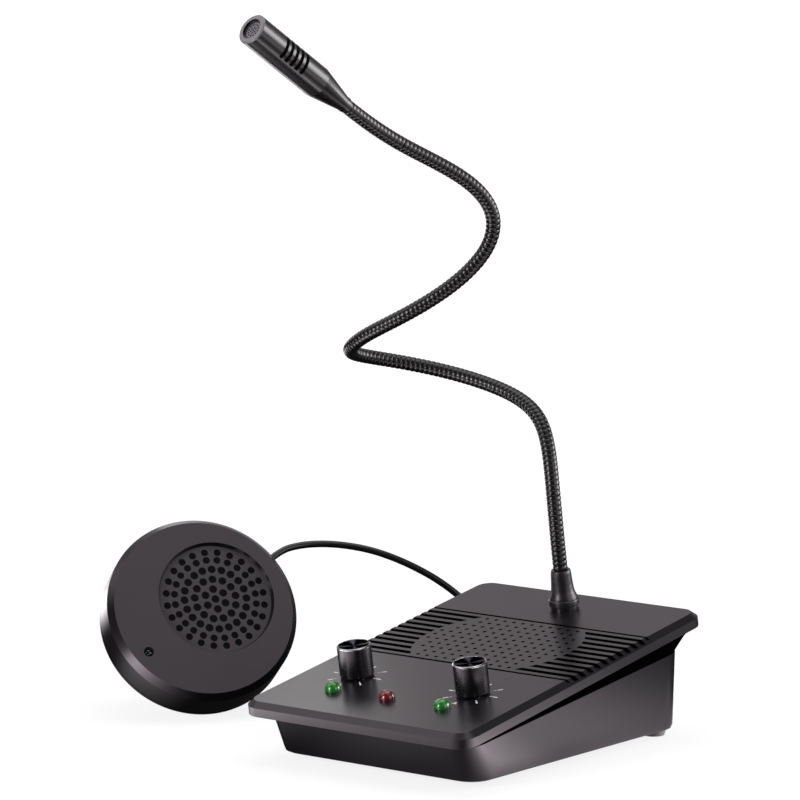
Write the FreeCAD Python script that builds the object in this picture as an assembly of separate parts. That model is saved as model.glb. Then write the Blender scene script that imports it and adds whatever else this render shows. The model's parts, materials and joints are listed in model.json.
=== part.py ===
import FreeCAD, Part
import math
import os

# Teller window intercom: a sloped desk unit with a gooseneck microphone, and a
# round outdoor unit on a cable. Millimetres, +Z up, origin on the desk under the
# centre of the desk unit's plan, -Y towards the person who sits at it.

V = FreeCAD.Vector
Turn = FreeCAD.Rotation
Place = FreeCAD.Placement
X_AXIS = V(1, 0, 0)
Y_AXIS = V(0, 1, 0)
Z_AXIS = V(0, 0, 1)
OVERRUN = 3.0
SEAT_GAP = 0.3
RUNNING_GAP = 0.05
BODY_GAP = 0.4
FULL_TURN = 360.0
QUARTER_TURN = 90.0

# Desk unit: the lip and the sloped plate
BASE_WIDTH = 132.0
BASE_DEPTH = 184.0
LIP_TOP_FRONT = 26.0
LIP_TOP_REAR = 56.6
LIP_HEIGHT = 4.2
LIP_CORNER = 9.5
PLATE_RISE = 2.45
PLATE_CHAMFER = 3.0
COVER_WALL = 2.5

# Desk unit: the cove under the lip, and the housing below it
PARTING_FRONT = 18.2
PARTING_REAR = 42.0
SIDE_INSET = 5.7
FRONT_INSET = 10.6
REAR_INSET = 8.4
SIDE_INSET_LOW = 6.5
FRONT_INSET_LOW = 16.2
REAR_INSET_LOW = 9.3
HOUSING_CORNER = 12.0
HOUSING_WALL = 2.5
HOUSING_BOTTOM = 2.8
BOTTOM_ROUND = 2.6
COVE_LEDGE = 0.4
COVE_START_INSET = 1.0
COVE_DEPTH_SHARES = (0.0, 0.28, 0.50, 0.75, 1.0)
COVE_DROP_SHARES = (0.0, 0.10, 0.32, 0.65, 1.0)

# Feet, and the screws that hold the two shells together
FOOT_R = 6.0
FOOT_TAPER = 0.8
FOOT_SINK = 0.8
FOOT_FRONT_SIDE_IN = 30.0
FOOT_REAR_SIDE_IN = 15.7
FOOT_FRONT_IN = 48.0
FOOT_REAR_IN = 20.0
SHELL_SCREW_R = 1.5
SHELL_SCREW_HEAD_R = 2.8
SHELL_SCREW_HEAD = 2.0
SCREW_SLOT_SHARE = 0.25
SHELL_SCREW_GRIP = 7.0
SHELL_BOSS_R = 3.4
SHELL_POST_R = 4.4
SHELL_POST_TOP = 13.0
SHELL_POST_SIDE_IN = 14.2
SHELL_POST_FRONT_IN = 43.0
SHELL_POST_REAR_IN = 40.0

# Grille band: slots beside a perforated disc
BAND_AFTER_KNOBS = 30.2
BAND_REAR_IN = 43.33
SLOT_PITCH = 5.8
SLOT_WIDTH = 3.1
SLOT_FLOOR = 0.45
SLOT_OPEN_INSET = 9.5
EDGE_LINE_WIDTH = 1.7
EDGE_LINE_DEPTH = 1.3
DISC_PAST_BAND = 9.0
HOLE_R = 1.0
HOLE_PITCH = 5.36
HOLE_COLUMNS = 15
HOLE_ROWS = 11
HOLE_EDGE = 2.6

# Loudspeaker under the disc
SPEAKER_IN_DISC = 2.7
SPEAKER_FLANGE = 1.2
SPEAKER_BASKET = 14.0
SPEAKER_NECK_SHARE = 0.5455
SPEAKER_SHEET = 0.9
SPEAKER_MAGNET_SHARE = 0.4935
SPEAKER_MAGNET = 7.0
SPEAKER_SURROUND = 5.5
CONE_DEPTH = 10.0
CONE_THROAT_SHARE = 0.234
CONE_SHEET = 0.5
CONE_DOME = 1.5
CONE_EDGE_GAP = 0.5
VOICE_COIL_GAP = 0.1
GASKET = 1.2
GASKET_WIDTH = 3.0

# Volume knobs and what turns under them
KNOB_ROW_X = -0.8
KNOB_SIDE_IN = 32.0
KNOB_S = 48.6
KNOB_R = 8.0
KNOB_HEIGHT = 15.5
KNOB_GAP = 0.6
KNOB_CHAMFER = 0.8
KNOB_RIM = 1.1
KNOB_CAP_SINK = 0.5
KNOB_CAP = 1.0
KNOB_MARK_WIDTH = 1.0
KNOB_MARK_DEPTH = 0.3
KNOB_MARK_SHARE = 0.55
POT_SHAFT_R = 3.0
POT_SHAFT_IN_KNOB = 11.0
POT_BUSH_R = 3.6
POT_BUSH_WALL_GAP = 0.3
POT_BODY_R = 8.2
POT_BODY = 6.4
POT_ROTOR_SINK = 3.0

# Indicator lamps
LAMP_ROW_X = -0.7
LAMP_SIDE_IN = 34.0
LAMP_S = 28.1
LAMP_R = 3.5
LAMP_NECK = 1.0
LAMP_FLANGE_R = 4.3
LAMP_FLANGE = 0.9
LAMP_HOLE_GAP = 0.15

# Control board under the plate
CONTROL_DEPTH = 10.4
BOARD = 1.6
CONTROL_SIDE_IN = 22.5
CONTROL_S_FRONT = 20.0
CONTROL_S_REAR = 60.0
CONTROL_BOSS_X = 14.0
CONTROL_BOSS_S_IN = 5.0
BOARD_BOSS_R = 2.6
BOARD_SCREW_R = 1.1
BOARD_SCREW_HEAD_R = 2.1
BOARD_SCREW_HEAD = 1.4
BOARD_SCREW_GRIP = 4.0

# Main board on the housing floor, and its parts
MAIN_POST_GAP = 0.6
MAIN_BOARD_DEPTH = 30.5
MAIN_Y_REAR_IN = 15.0
MAIN_POST = 4.0
MAIN_POST_R = 3.0
MAIN_POST_IN = 4.2
MAIN_POST_SIDE_IN = 12.8
CHIP_X = -6.0
CHIP_SIZE = 9.0
CHIP_THICK = 1.8
CAN_R = 4.0
CAN_HEIGHT = 10.0
CAN_PITCH = 11.0
CAN_COUNT = 3
CAN_X = 6.0
REGULATOR_FROM_POST = 12.0
REGULATOR_WIDTH = 10.0
REGULATOR_HEIGHT = 14.0
REGULATOR_THICK = 4.5

# Sockets and switch in the rear wall
SOCKET_HEIGHT = 17.0
LINE_EDGE_GAP = 0.1
LINE_COLLAR_R = 3.9
LINE_BORE_R = 1.8
LINE_BORE = 15.0
LINE_BLOCK_WIDTH = 10.0
LINE_BLOCK_HEIGHT = 9.0
DC_X = 8.0
DC_COLLAR_R = 4.6
DC_BORE_R = 2.9
DC_BORE = 9.5
DC_PIN_R = 1.0
DC_BLOCK_WIDTH = 10.0
DC_BLOCK_HEIGHT = 11.0
DC_BLOCK_DEPTH = 13.0
COLLAR_GAP = 0.1
COLLAR_PROUD = 0.4
SWITCH_SIDE_IN = 7.8
SWITCH_Z = 22.0
SWITCH_BEZEL_X = 15.0
SWITCH_BEZEL_Z = 21.0
SWITCH_BEZEL = 1.6
SWITCH_BODY_X = 12.6
SWITCH_BODY_Z = 18.4
SWITCH_BODY_DEPTH = 12.0
SWITCH_FLOOR = 2.0
ROCKER_X = 9.4
ROCKER_Z = 14.4
ROCKER_TILT = 7.0
ROCKER_PROUD = 0.6
ROCKER_PIN_R = 1.2
ROCKER_PIN_IN = 3.0
ROCKER_DEPTH = 3.0
ROCKER_END_GAP = 1.0

# Gooseneck: collar, boot and ribbed tube
BOOT_X = -1.0
BOOT_REAR_IN = 21.53
COLLAR_FLANGE_R = 6.6
COLLAR_FLANGE = 1.5
COLLAR_THREAD_R = 5.0
COLLAR_THREAD_BELOW = 9.0
COLLAR_BORE_R = 3.7
COLLAR_HOLE_GAP = 0.15
NECK_NUT_R = 8.5
NECK_NUT = 3.5
BOOT_HEIGHT = 19.0
BOOT_SKIRT_R = 7.3
BOOT_RADIUS_SHARES = (1.0, 1.0, 0.92, 0.81, 0.755, 0.66, 0.63)
BOOT_HEIGHT_SHARES = (0.08, 0.22, 0.30, 0.40, 0.50, 0.95, 1.0)
NECK_R = 3.5
NECK_CORE_R = 3.15
NECK_BORE_R = 2.2
RIB_PITCH = 2.4
RIB_RISE_SHARES = (0.10, 0.30, 0.70, 0.90)
NECK_RISE = 226.1
NECK_START = 34.5
NECK_SHARES = (
    (-0.024, -0.003, 0.263),
    (-0.085, 0.031, 0.332),
    (-0.187, 0.039, 0.367),
    (-0.304, 0.011, 0.395),
    (-0.399, -0.052, 0.417),
    (-0.442, -0.131, 0.434),
    (-0.420, -0.197, 0.453),
    (-0.351, -0.223, 0.493),
    (-0.256, -0.201, 0.539),
    (-0.167, -0.149, 0.602),
    (-0.106, -0.105, 0.677),
    (-0.085, -0.104, 0.754),
    (-0.103, -0.159, 0.823),
    (-0.144, -0.255, 0.879),
    (-0.185, -0.362, 0.933),
    (-0.199, -0.462, 1.000),
)
NECK_SPLINE_DEGREE = 3
NUT_SIDES = 6
ROOT_RIBS = 15
LOWER_RIBS = 12
WAIST_RIBS = 17
TIP_RIBS = 15
NECK_END_PLAIN = 2.0

# Microphone head
TAIL_LENGTH = 21.0
TAIL_R = 3.8
TAIL_LIP = 2.0
BARREL_LENGTH = 47.0
BARREL_R = 7.5
BARREL_WALL = 1.2
SPIGOT = 4.0
VENT_COUNT = 5
VENT_FIRST = 17.2
VENT_PITCH = 3.57
VENT_WIDTH = 2.0
VENT_SWEEP = 130.0
VENT_TURN = 58.0
RING_WIDTH = 2.4
RING_LENGTH = 3.0
RING_EDGE = 0.6
MESH_SINK = 1.3
MESH_THICK = 0.6
MESH_HOLE_R = 0.45
MESH_PITCH = 1.45
MESH_RINGS = 3
MESH_HOLES_PER_RING = 6
CAPSULE_R = 4.7
CAPSULE_LENGTH = 6.5
LINER_R = 5.9
LINER_WALL = 0.8
LINER_LENGTH = 22.0
LINER_START = 13.0

# Round outdoor unit: where it stands and how it leans
PUCK_X = -150.7
PUCK_Y = -19.7
PUCK_YAW = 56.3
PUCK_LEAN = 31.4
PUCK_SPIN = 34.5
PUCK_R = 46.9
PUCK_DEPTH = 22.6
PUCK_WALL = 2.2
PUCK_FACE = 2.4
PUCK_CHAMFER_IN = 2.8
PUCK_CHAMFER_DEPTH = 3.8
PUCK_BACK = 3.0
PUCK_BACK_EDGE = 0.8
PUCK_SEAM = 0.4
PUCK_SEAM_DEPTH = 0.5
RECESS_X = 8.6
RECESS_RIM = 9.7
RECESS_DEPTH = 2.4
RECESS_DRAFT = 0.9
RECESS_FLOOR = 1.8
RING_COUNTS = (1, 6, 13, 20, 24, 24)
RING_RADIUS_SHARES = (0.0, 0.188, 0.373, 0.560, 0.735, 0.880)
PUCK_HOLE_R = 1.7
PUCK_OUTER_HOLE_R = 1.45
OUTER_RINGS = 2
RECESS_HOLE_IN = 1.0
MIC_EDGE_IN = 10.1
MIC_HOLE_R = 2.5
MIC_CAPSULE_R = 2.1
MIC_CAPSULE = 3.0
MIC_CAPSULE_SINK = 0.9
MIC_SLEEVE = 7.0
MIC_SLEEVE_R = 4.0
PUCK_SPEAKER_IN = 1.4
PUCK_SPEAKER_FLANGE = 1.0
PUCK_BASKET = 5.4
PUCK_BASKET_SHARE = 0.588
PUCK_MAGNET_SHARE = 0.478
PUCK_MAGNET = 3.6
PUCK_SURROUND = 4.2
PUCK_CONE_DEPTH = 3.8
PUCK_THROAT_SHARE = 0.2574
PUCK_GASKET = 0.8
PUCK_GASKET_WIDTH = 2.4
PUCK_SCREW_R = 1.3
PUCK_SCREW_HEAD_R = 2.4
PUCK_SCREW_HEAD = 1.5
PUCK_SCREW_GRIP = 5.0
PUCK_BOSS_R = 3.0
PUCK_BOSS_IN = 5.9
PUCK_SCREW_ANGLES = (75.0, 135.0, 225.0, 285.0)

# Rear bracket of the outdoor unit
BRACKET_STAND = 18.0
BRACKET_PLATE = 3.0
BRACKET_HUB_R = 11.0
BRACKET_BOLT_IN = 10.91
BRACKET_BOLTS = 4
BRACKET_BOLT_R = 2.2
BRACKET_BOLT_START_SHARE = 0.125
HUB_SCREW_R = 2.0
HUB_SCREW_HEAD_R = 4.0
HUB_SCREW_HEAD = 2.4
HUB_SCREW_SEAT = 8.0

# Cable of the outdoor unit
CABLE_R = 1.7
GLAND_DEPTH = 14.0
GLAND_R = 2.7
GLAND_TIP_R = 2.2
GLAND_OUT = 3.8
GLAND_FLANGE_R = 4.2
GLAND_FLANGE = 1.4
GLAND_GAP = 0.05
CABLE_REST = 0.05
CABLE_SHARE_OF_RUN = 0.45
GLAND_LEAD = 7.0
CABLE_POINTS = (
    (-145.1, 43.8, 73.9),
    (-139.4, 52.2, 74.4),
    (-130.9, 61.9, 73.4),
    (-119.5, 72.5, 70.2),
    (-106.9, 83.7, 63.4),
    (-94.6, 94.9, 53.8),
    (-83.6, 104.4, 41.3),
    (-73.5, 111.2, 27.2),
    (-66.0, 115.0, 16.6),
    (-56.5, 119.2, 8.2),
    (-46.5, 122.0, 3.0),
)
CABLE_COIL_LEAD = 6.8
COIL_X = -28.0
COIL_Y = 148.0
COIL_OUT_R = 25.0
COIL_LAYERS = 4
COIL_TURNS_PER_LAYER = 2.5
COIL_PITCH = 4.1
COIL_LAYER_RISE = 3.9
COIL_STEPS_PER_TURN = 4
COIL_LOOK_SHARE = 0.001
COIL_CLIMB_SHARE = 0.5
TAIL_POINTS = (
    (-51.4, 136.6, 14.0),
    (-48.7, 129.1, 14.9),
    (-44.0, 122.5, 16.1),
    (-41.7, 115.1, 17.0),
)
PLUG_R = 4.2
PLUG_LENGTH = 15.0
PLUG_TIP_R = 1.75
PLUG_TIP = 14.0
PLUG_GRIPS = 6
PLUG_GRIP_DEPTH = 0.5
PLUG_GRIP_WIDTH = 1.0
PLUG_SHOULDER = 2.0
RELIEF_LENGTH = 9.0
RELIEF_R = 3.2
RELIEF_TIP_R = 2.1

# Worked out from the sizes above
PLATE_LENGTH = math.hypot(BASE_DEPTH, LIP_TOP_REAR - LIP_TOP_FRONT)
SLOPE_SINE = (LIP_TOP_REAR - LIP_TOP_FRONT) / PLATE_LENGTH
SLOPE_COSINE = BASE_DEPTH / PLATE_LENGTH
SLOPE_ANGLE = math.degrees(math.asin(SLOPE_SINE))
HALF_X = BASE_WIDTH / 2
HALF_Y = BASE_DEPTH / 2
FLOOR_TOP = HOUSING_BOTTOM + HOUSING_WALL
KNOB_X = HALF_X - KNOB_SIDE_IN
KNOB_CAP_R = KNOB_R - KNOB_RIM
LAMP_X = HALF_X - LAMP_SIDE_IN
CONTROL_HALF_X = HALF_X - CONTROL_SIDE_IN
MAIN_HALF_X = HALF_X - SHELL_POST_SIDE_IN - SHELL_POST_R - MAIN_POST_GAP
MAIN_Y_FRONT = HALF_Y - MAIN_Y_REAR_IN - MAIN_BOARD_DEPTH
REGULATOR_X = MAIN_POST_SIDE_IN - MAIN_HALF_X + REGULATOR_FROM_POST
LINE_X = LINE_EDGE_GAP + LINE_BLOCK_WIDTH / 2 - MAIN_HALF_X
SWITCH_X = MAIN_HALF_X - SWITCH_SIDE_IN
BOOT_S = PLATE_LENGTH - BOOT_REAR_IN
BAND_FRONT = KNOB_S + BAND_AFTER_KNOBS
BAND_LENGTH = PLATE_LENGTH - BAND_REAR_IN - BAND_FRONT
BAND_CENTRE = BAND_FRONT + BAND_LENGTH / 2
SLOT_COUNT = int(BAND_LENGTH / SLOT_PITCH) - 1
DISC_R = BAND_LENGTH / 2 + DISC_PAST_BAND
SPEAKER_R = DISC_R - SPEAKER_IN_DISC
SPEAKER_NECK_R = SPEAKER_R * SPEAKER_NECK_SHARE
SPEAKER_MAGNET_R = SPEAKER_R * SPEAKER_MAGNET_SHARE
CONE_R = SPEAKER_R - SPEAKER_SURROUND
CONE_THROAT_R = SPEAKER_R * CONE_THROAT_SHARE
GASKET_IN_R = SPEAKER_R - GASKET_WIDTH
RECESS_R = PUCK_R - RECESS_X - RECESS_RIM
RECESS_INNER_R = RECESS_R - RECESS_HOLE_IN
MIC_X = MIC_EDGE_IN - PUCK_R
PUCK_SPEAKER_R = RECESS_R - PUCK_SPEAKER_IN
PUCK_BASKET_R = PUCK_SPEAKER_R * PUCK_BASKET_SHARE
PUCK_MAGNET_R = PUCK_SPEAKER_R * PUCK_MAGNET_SHARE
PUCK_CONE_R = PUCK_SPEAKER_R - PUCK_SURROUND
PUCK_CONE_THROAT_R = PUCK_SPEAKER_R * PUCK_THROAT_SHARE
PUCK_GASKET_IN_R = PUCK_SPEAKER_R - PUCK_GASKET_WIDTH
PUCK_BOSS_CIRCLE = PUCK_R - PUCK_BOSS_IN
LOW = HOUSING_BOTTOM + BOTTOM_ROUND
LIP_BOTTOM_FRONT = LIP_TOP_FRONT - LIP_HEIGHT / SLOPE_COSINE
LIP_BOTTOM_REAR = LIP_TOP_REAR - LIP_HEIGHT / SLOPE_COSINE
COVER_UNDER = PLATE_RISE - COVER_WALL
FAR = PLATE_LENGTH + BASE_WIDTH
PLATE = Place(V(0, -HALF_Y, LIP_TOP_FRONT), Turn(X_AXIS, SLOPE_ANGLE))
PLATE_NORMAL = V(0, -SLOPE_SINE, SLOPE_COSINE)
LEAN = math.radians(PUCK_LEAN)
PUCK_FACE_Z = PUCK_DEPTH * math.sin(LEAN) + PUCK_R * math.cos(LEAN)
PUCK_TURN = Turn(Z_AXIS, PUCK_YAW).multiply(Turn(X_AXIS, QUARTER_TURN - PUCK_LEAN))
PUCK_TURN = PUCK_TURN.multiply(Turn(Z_AXIS, PUCK_SPIN))
PUCK_NORMAL = PUCK_TURN.multVec(Z_AXIS)
PUCK_BASE = V(PUCK_X, PUCK_Y, PUCK_FACE_Z) - PUCK_NORMAL * PUCK_DEPTH
PUCK = Place(PUCK_BASE, PUCK_TURN)
BACK_TO_PLATE = PUCK_DEPTH + BRACKET_STAND
BRACKET_R = (PUCK_FACE_Z - BACK_TO_PLATE * math.sin(LEAN)) / math.cos(LEAN)
BRACKET_BOLT_CIRCLE_R = BRACKET_R - BRACKET_BOLT_IN

parts = {}


# Small helpers

def cylinder(radius, height, at, axis=Z_AXIS):
    return Part.makeCylinder(radius, height, at, axis)


def bore(radius, at=V(0, 0, 0)):
    """A cutter along Z that runs far out on both sides of a point."""
    return cylinder(radius, 2 * FAR, at - Z_AXIS * FAR)


def ring(outer_r, inner_r, height, at=V(0, 0, 0)):
    return cylinder(outer_r, height, at).cut(bore(inner_r, at))


def circle_places(count, radius, start=0):
    """Evenly spaced points on a circle about Z; start is the first one's share of a turn."""
    angles = [2 * math.pi * (start + k / count) for k in range(count)]
    return [V(radius * math.cos(a), radius * math.sin(a), 0) for a in angles]


def box(half_x, y0, y1, z0, z1):
    return Part.makeBox(2 * half_x, y1 - y0, z1 - z0, V(-half_x, y0, z0))


def fuse_all(shapes):
    return shapes[0].multiFuse(shapes[1:]).removeSplitter()


def spun(points, at=V(0, 0, 0)):
    """A solid of revolution about Z from a closed outline of (radius, height) points."""
    loop = [V(r, 0, z) + at for r, z in points]
    loop.append(loop[0])
    face = Part.Face(Part.makePolygon(loop))
    return face.revolve(at, Z_AXIS, FULL_TURN)


def placed(shape, placement):
    moved = shape.copy()
    moved.Placement = placement.multiply(moved.Placement)
    return moved


def outline(half_x, y_front, y_rear, radius, z_front, z_rear):
    """A closed outline with round corners, whose height runs evenly from front to rear."""
    diagonal = radius * (1 - math.sqrt(1 / 2))

    def point(x, y):
        share = (y + HALF_Y) / BASE_DEPTH
        return V(x, y, z_front + (z_rear - z_front) * share)

    ends = []
    for sx, sy in ((1, 1), (-1, 1), (-1, -1), (1, -1)):
        y = y_rear if sy > 0 else y_front
        side = point(sx * half_x, y - sy * radius)
        level = point(sx * (half_x - radius), y)
        middle = point(sx * (half_x - diagonal), y - sy * diagonal)
        first, last = (side, level) if sx * sy > 0 else (level, side)
        ends.append((first, middle, last))
    edges = []
    for (first, middle, last), following in zip(ends, ends[1:] + ends[:1]):
        edges.append(Part.Arc(first, middle, last).toShape())
        edges.append(Part.LineSegment(last, following[0]).toShape())
    return Part.Wire(edges)


def above(z_front, z_rear):
    """Everything above the plane that runs from z_front to z_rear over the base's depth."""
    slope = (z_rear - z_front) / BASE_DEPTH
    low = z_front - slope * (FAR - HALF_Y)
    high = z_rear + slope * (FAR - HALF_Y)
    corners = [V(-FAR, -FAR, low), V(-FAR, FAR, high), V(-FAR, FAR, FAR), V(-FAR, -FAR, FAR)]
    corners.append(corners[0])
    return Part.Face(Part.makePolygon(corners)).extrude(V(2 * FAR, 0, 0))


def on_plate(shape, x, s, n):
    """Moves a shape that was made round the origin to a place on the sloped plate."""
    return placed(shape, PLATE.multiply(Place(V(x, s, n), Turn())))


def plate_point(x, s, n):
    return PLATE.multVec(V(x, s, n))


# Top cover

def lip_slab():
    """The lip with the chamfered crown on it, in the sloped plate's own frame."""
    base = outline(HALF_X, 0, PLATE_LENGTH, LIP_CORNER, 0, 0)
    slab = Part.Face(base).extrude(V(0, 0, LIP_HEIGHT))
    slab.translate(V(0, 0, -LIP_HEIGHT))
    inner = outline(HALF_X - PLATE_CHAMFER, PLATE_CHAMFER, PLATE_LENGTH - PLATE_CHAMFER,
                    LIP_CORNER - PLATE_CHAMFER, PLATE_RISE, PLATE_RISE)
    crown = Part.makeLoft([base, inner], True, True)
    return slab.fuse(crown).removeSplitter()


def cove_ring():
    """The hollow curve from under the lip down to the parting line, as a stack of outlines."""
    start = COVE_START_INSET
    wires = [outline(HALF_X - start, start - HALF_Y, HALF_Y - start, LIP_CORNER,
                     LIP_BOTTOM_FRONT + LIP_HEIGHT / 2, LIP_BOTTOM_REAR + LIP_HEIGHT / 2)]
    for depth_share, drop_share in zip(COVE_DEPTH_SHARES, COVE_DROP_SHARES):
        side = start + (SIDE_INSET + COVE_LEDGE - start) * depth_share
        front = start + (FRONT_INSET + COVE_LEDGE - start) * depth_share
        rear = start + (REAR_INSET + COVE_LEDGE - start) * depth_share
        z_front = LIP_BOTTOM_FRONT + (PARTING_FRONT - LIP_BOTTOM_FRONT) * drop_share
        z_rear = LIP_BOTTOM_REAR + (PARTING_REAR - LIP_BOTTOM_REAR) * drop_share
        corner = LIP_CORNER + (HOUSING_CORNER - LIP_CORNER) * depth_share
        wires.append(outline(HALF_X - side, front - HALF_Y, HALF_Y - rear, corner,
                             z_front, z_rear))
    return Part.makeLoft(wires, True, True)


def cover_cavity():
    inner = outline(HALF_X - SIDE_INSET - HOUSING_WALL, FRONT_INSET + HOUSING_WALL - HALF_Y,
                    HALF_Y - REAR_INSET - HOUSING_WALL, HOUSING_CORNER - HOUSING_WALL, 0, 0)
    prism = Part.Face(inner).extrude(V(0, 0, FAR))
    roof = placed(Part.makeBox(2 * FAR, 2 * FAR, FAR, V(-FAR, -FAR, COVER_UNDER)), PLATE)
    return prism.cut(roof)


def band_cuts():
    """The slots beside the disc, and the thin line along each edge of the band."""
    step = BAND_LENGTH / (SLOT_COUNT + 1)
    disc = cylinder(DISC_R, FAR, V(0, BAND_CENTRE, -FAR / 2))
    cuts = []
    for index in range(SLOT_COUNT):
        middle = BAND_FRONT + step * (index + 1)
        y0 = middle - SLOT_WIDTH / 2
        y1 = middle + SLOT_WIDTH / 2
        groove = box(HALF_X + OVERRUN, y0, y1, SLOT_FLOOR, PLATE_RISE + OVERRUN)
        window = box(HALF_X - SLOT_OPEN_INSET, y0, y1, COVER_UNDER - OVERRUN, PLATE_RISE + OVERRUN)
        cuts.append(groove.cut(disc))
        cuts.append(window.cut(disc))
    half_line = EDGE_LINE_WIDTH / 2
    for middle in (BAND_FRONT + half_line, BAND_FRONT + BAND_LENGTH - half_line):
        cuts.append(box(HALF_X + OVERRUN, middle - half_line, middle + half_line,
                        PLATE_RISE - EDGE_LINE_DEPTH, PLATE_RISE + OVERRUN))
    return cuts


def disc_holes():
    holes = []
    for column in range(HOLE_COLUMNS):
        for row in range(HOLE_ROWS):
            x = (column - (HOLE_COLUMNS - 1) / 2) * HOLE_PITCH
            y = (row - (HOLE_ROWS - 1) / 2) * HOLE_PITCH
            if math.hypot(x, y) > DISC_R - HOLE_EDGE:
                continue
            holes.append(cylinder(HOLE_R, COVER_WALL + 2 * OVERRUN,
                                  V(x, BAND_CENTRE + y, COVER_UNDER - OVERRUN)))
    return holes


def control_boss_places():
    near = CONTROL_S_FRONT + CONTROL_BOSS_S_IN
    far = CONTROL_S_REAR - CONTROL_BOSS_S_IN
    return [(sx * CONTROL_BOSS_X, s) for sx in (-1, 1) for s in (near, far)]


def shell_screw_places():
    side = HALF_X - SHELL_POST_SIDE_IN
    return [(sx * side, y) for sx in (-1, 1)
            for y in (SHELL_POST_FRONT_IN - HALF_Y, HALF_Y - SHELL_POST_REAR_IN)]


def top_cover():
    cover = placed(lip_slab(), PLATE).fuse(cove_ring())
    cover = cover.cut(cover_cavity()).removeSplitter()
    above_plate = Part.makeBox(2 * FAR, 2 * FAR, FAR, V(-FAR, -FAR, COVER_UNDER + COVER_WALL / 2))
    roof = placed(above_plate, PLATE)
    bosses = []
    for x, y in shell_screw_places():
        post = cylinder(SHELL_BOSS_R, FAR, V(x, y, SHELL_POST_TOP))
        bosses.append(post.cut(roof))
    board_top = COVER_UNDER - CONTROL_DEPTH
    for x, s in control_boss_places():
        boss = cylinder(BOARD_BOSS_R, CONTROL_DEPTH + COVER_WALL / 2, V(x, s, board_top))
        bosses.append(placed(boss, PLATE))
    cover = cover.multiFuse(bosses)
    through = COVER_WALL + 2 * OVERRUN
    low = COVER_UNDER - OVERRUN
    cuts = band_cuts() + disc_holes()
    for sx in (-1, 1):
        at = V(KNOB_ROW_X + sx * KNOB_X, KNOB_S, low)
        cuts.append(cylinder(POT_BUSH_R + POT_BUSH_WALL_GAP, through, at))
    for sx in (-1, 0, 1):
        cuts.append(cylinder(LAMP_R + LAMP_HOLE_GAP, through, V(LAMP_ROW_X + sx * LAMP_X, LAMP_S, low)))
    cuts.append(cylinder(COLLAR_THREAD_R + COLLAR_HOLE_GAP, through, V(BOOT_X, BOOT_S, low)))
    for x, s in control_boss_places():
        cuts.append(cylinder(BOARD_SCREW_R, BOARD_SCREW_GRIP, V(x, s, board_top)))
    cuts = [placed(cut, PLATE) for cut in cuts]
    for x, y in shell_screw_places():
        cuts.append(cylinder(SHELL_SCREW_R, SHELL_SCREW_GRIP, V(x, y, SHELL_POST_TOP)))
    return cover.cut(cuts)


# Lower housing

def housing_section(z, extra):
    """The housing's outline at one height, drawn in by extra all round."""
    share = (z - LOW) / (PARTING_REAR - LOW)
    rake = (FRONT_INSET_LOW - FRONT_INSET) / (PARTING_FRONT - LOW)
    side = SIDE_INSET_LOW + (SIDE_INSET - SIDE_INSET_LOW) * share + extra
    rear = REAR_INSET_LOW + (REAR_INSET - REAR_INSET_LOW) * share + extra
    front = FRONT_INSET_LOW - rake * (z - LOW) + extra
    return outline(HALF_X - side, front - HALF_Y, HALF_Y - rear, HOUSING_CORNER - extra, z, z)


def housing_body():
    """The outside of the housing: walls that flare a little, on a rounded bottom edge."""
    walls = Part.makeLoft([housing_section(LOW, 0), housing_section(PARTING_REAR + OVERRUN, 0)],
                          True, True)
    turn = math.sqrt(1 / 2)
    belly = Part.makeLoft([low_section(HOUSING_BOTTOM, BOTTOM_ROUND),
                           low_section(LOW - BOTTOM_ROUND * turn, BOTTOM_ROUND * (1 - turn)),
                           low_section(LOW, 0)], True, True)
    return walls.fuse(belly).removeSplitter()


def low_section(z, extra):
    """The outline at the foot of the walls, drawn in by extra and set at height z."""
    return outline(HALF_X - SIDE_INSET_LOW - extra, FRONT_INSET_LOW + extra - HALF_Y,
                   HALF_Y - REAR_INSET_LOW - extra, HOUSING_CORNER - extra, z, z)


def housing_cavity():
    return Part.makeLoft([housing_section(FLOOR_TOP, HOUSING_WALL),
                          housing_section(PARTING_REAR + 2 * OVERRUN, HOUSING_WALL)], True, True)


def foot_places():
    rows = ((HALF_X - FOOT_FRONT_SIDE_IN, FOOT_FRONT_IN - HALF_Y),
            (HALF_X - FOOT_REAR_SIDE_IN, HALF_Y - FOOT_REAR_IN))
    return [(sx * x, y) for sx in (-1, 1) for x, y in rows]


def main_post_places():
    rear = HALF_Y - MAIN_Y_REAR_IN
    return [(sx * (MAIN_HALF_X - MAIN_POST_SIDE_IN), y) for sx in (-1, 1)
            for y in (MAIN_Y_FRONT + MAIN_POST_IN, rear - MAIN_POST_IN)]


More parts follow.
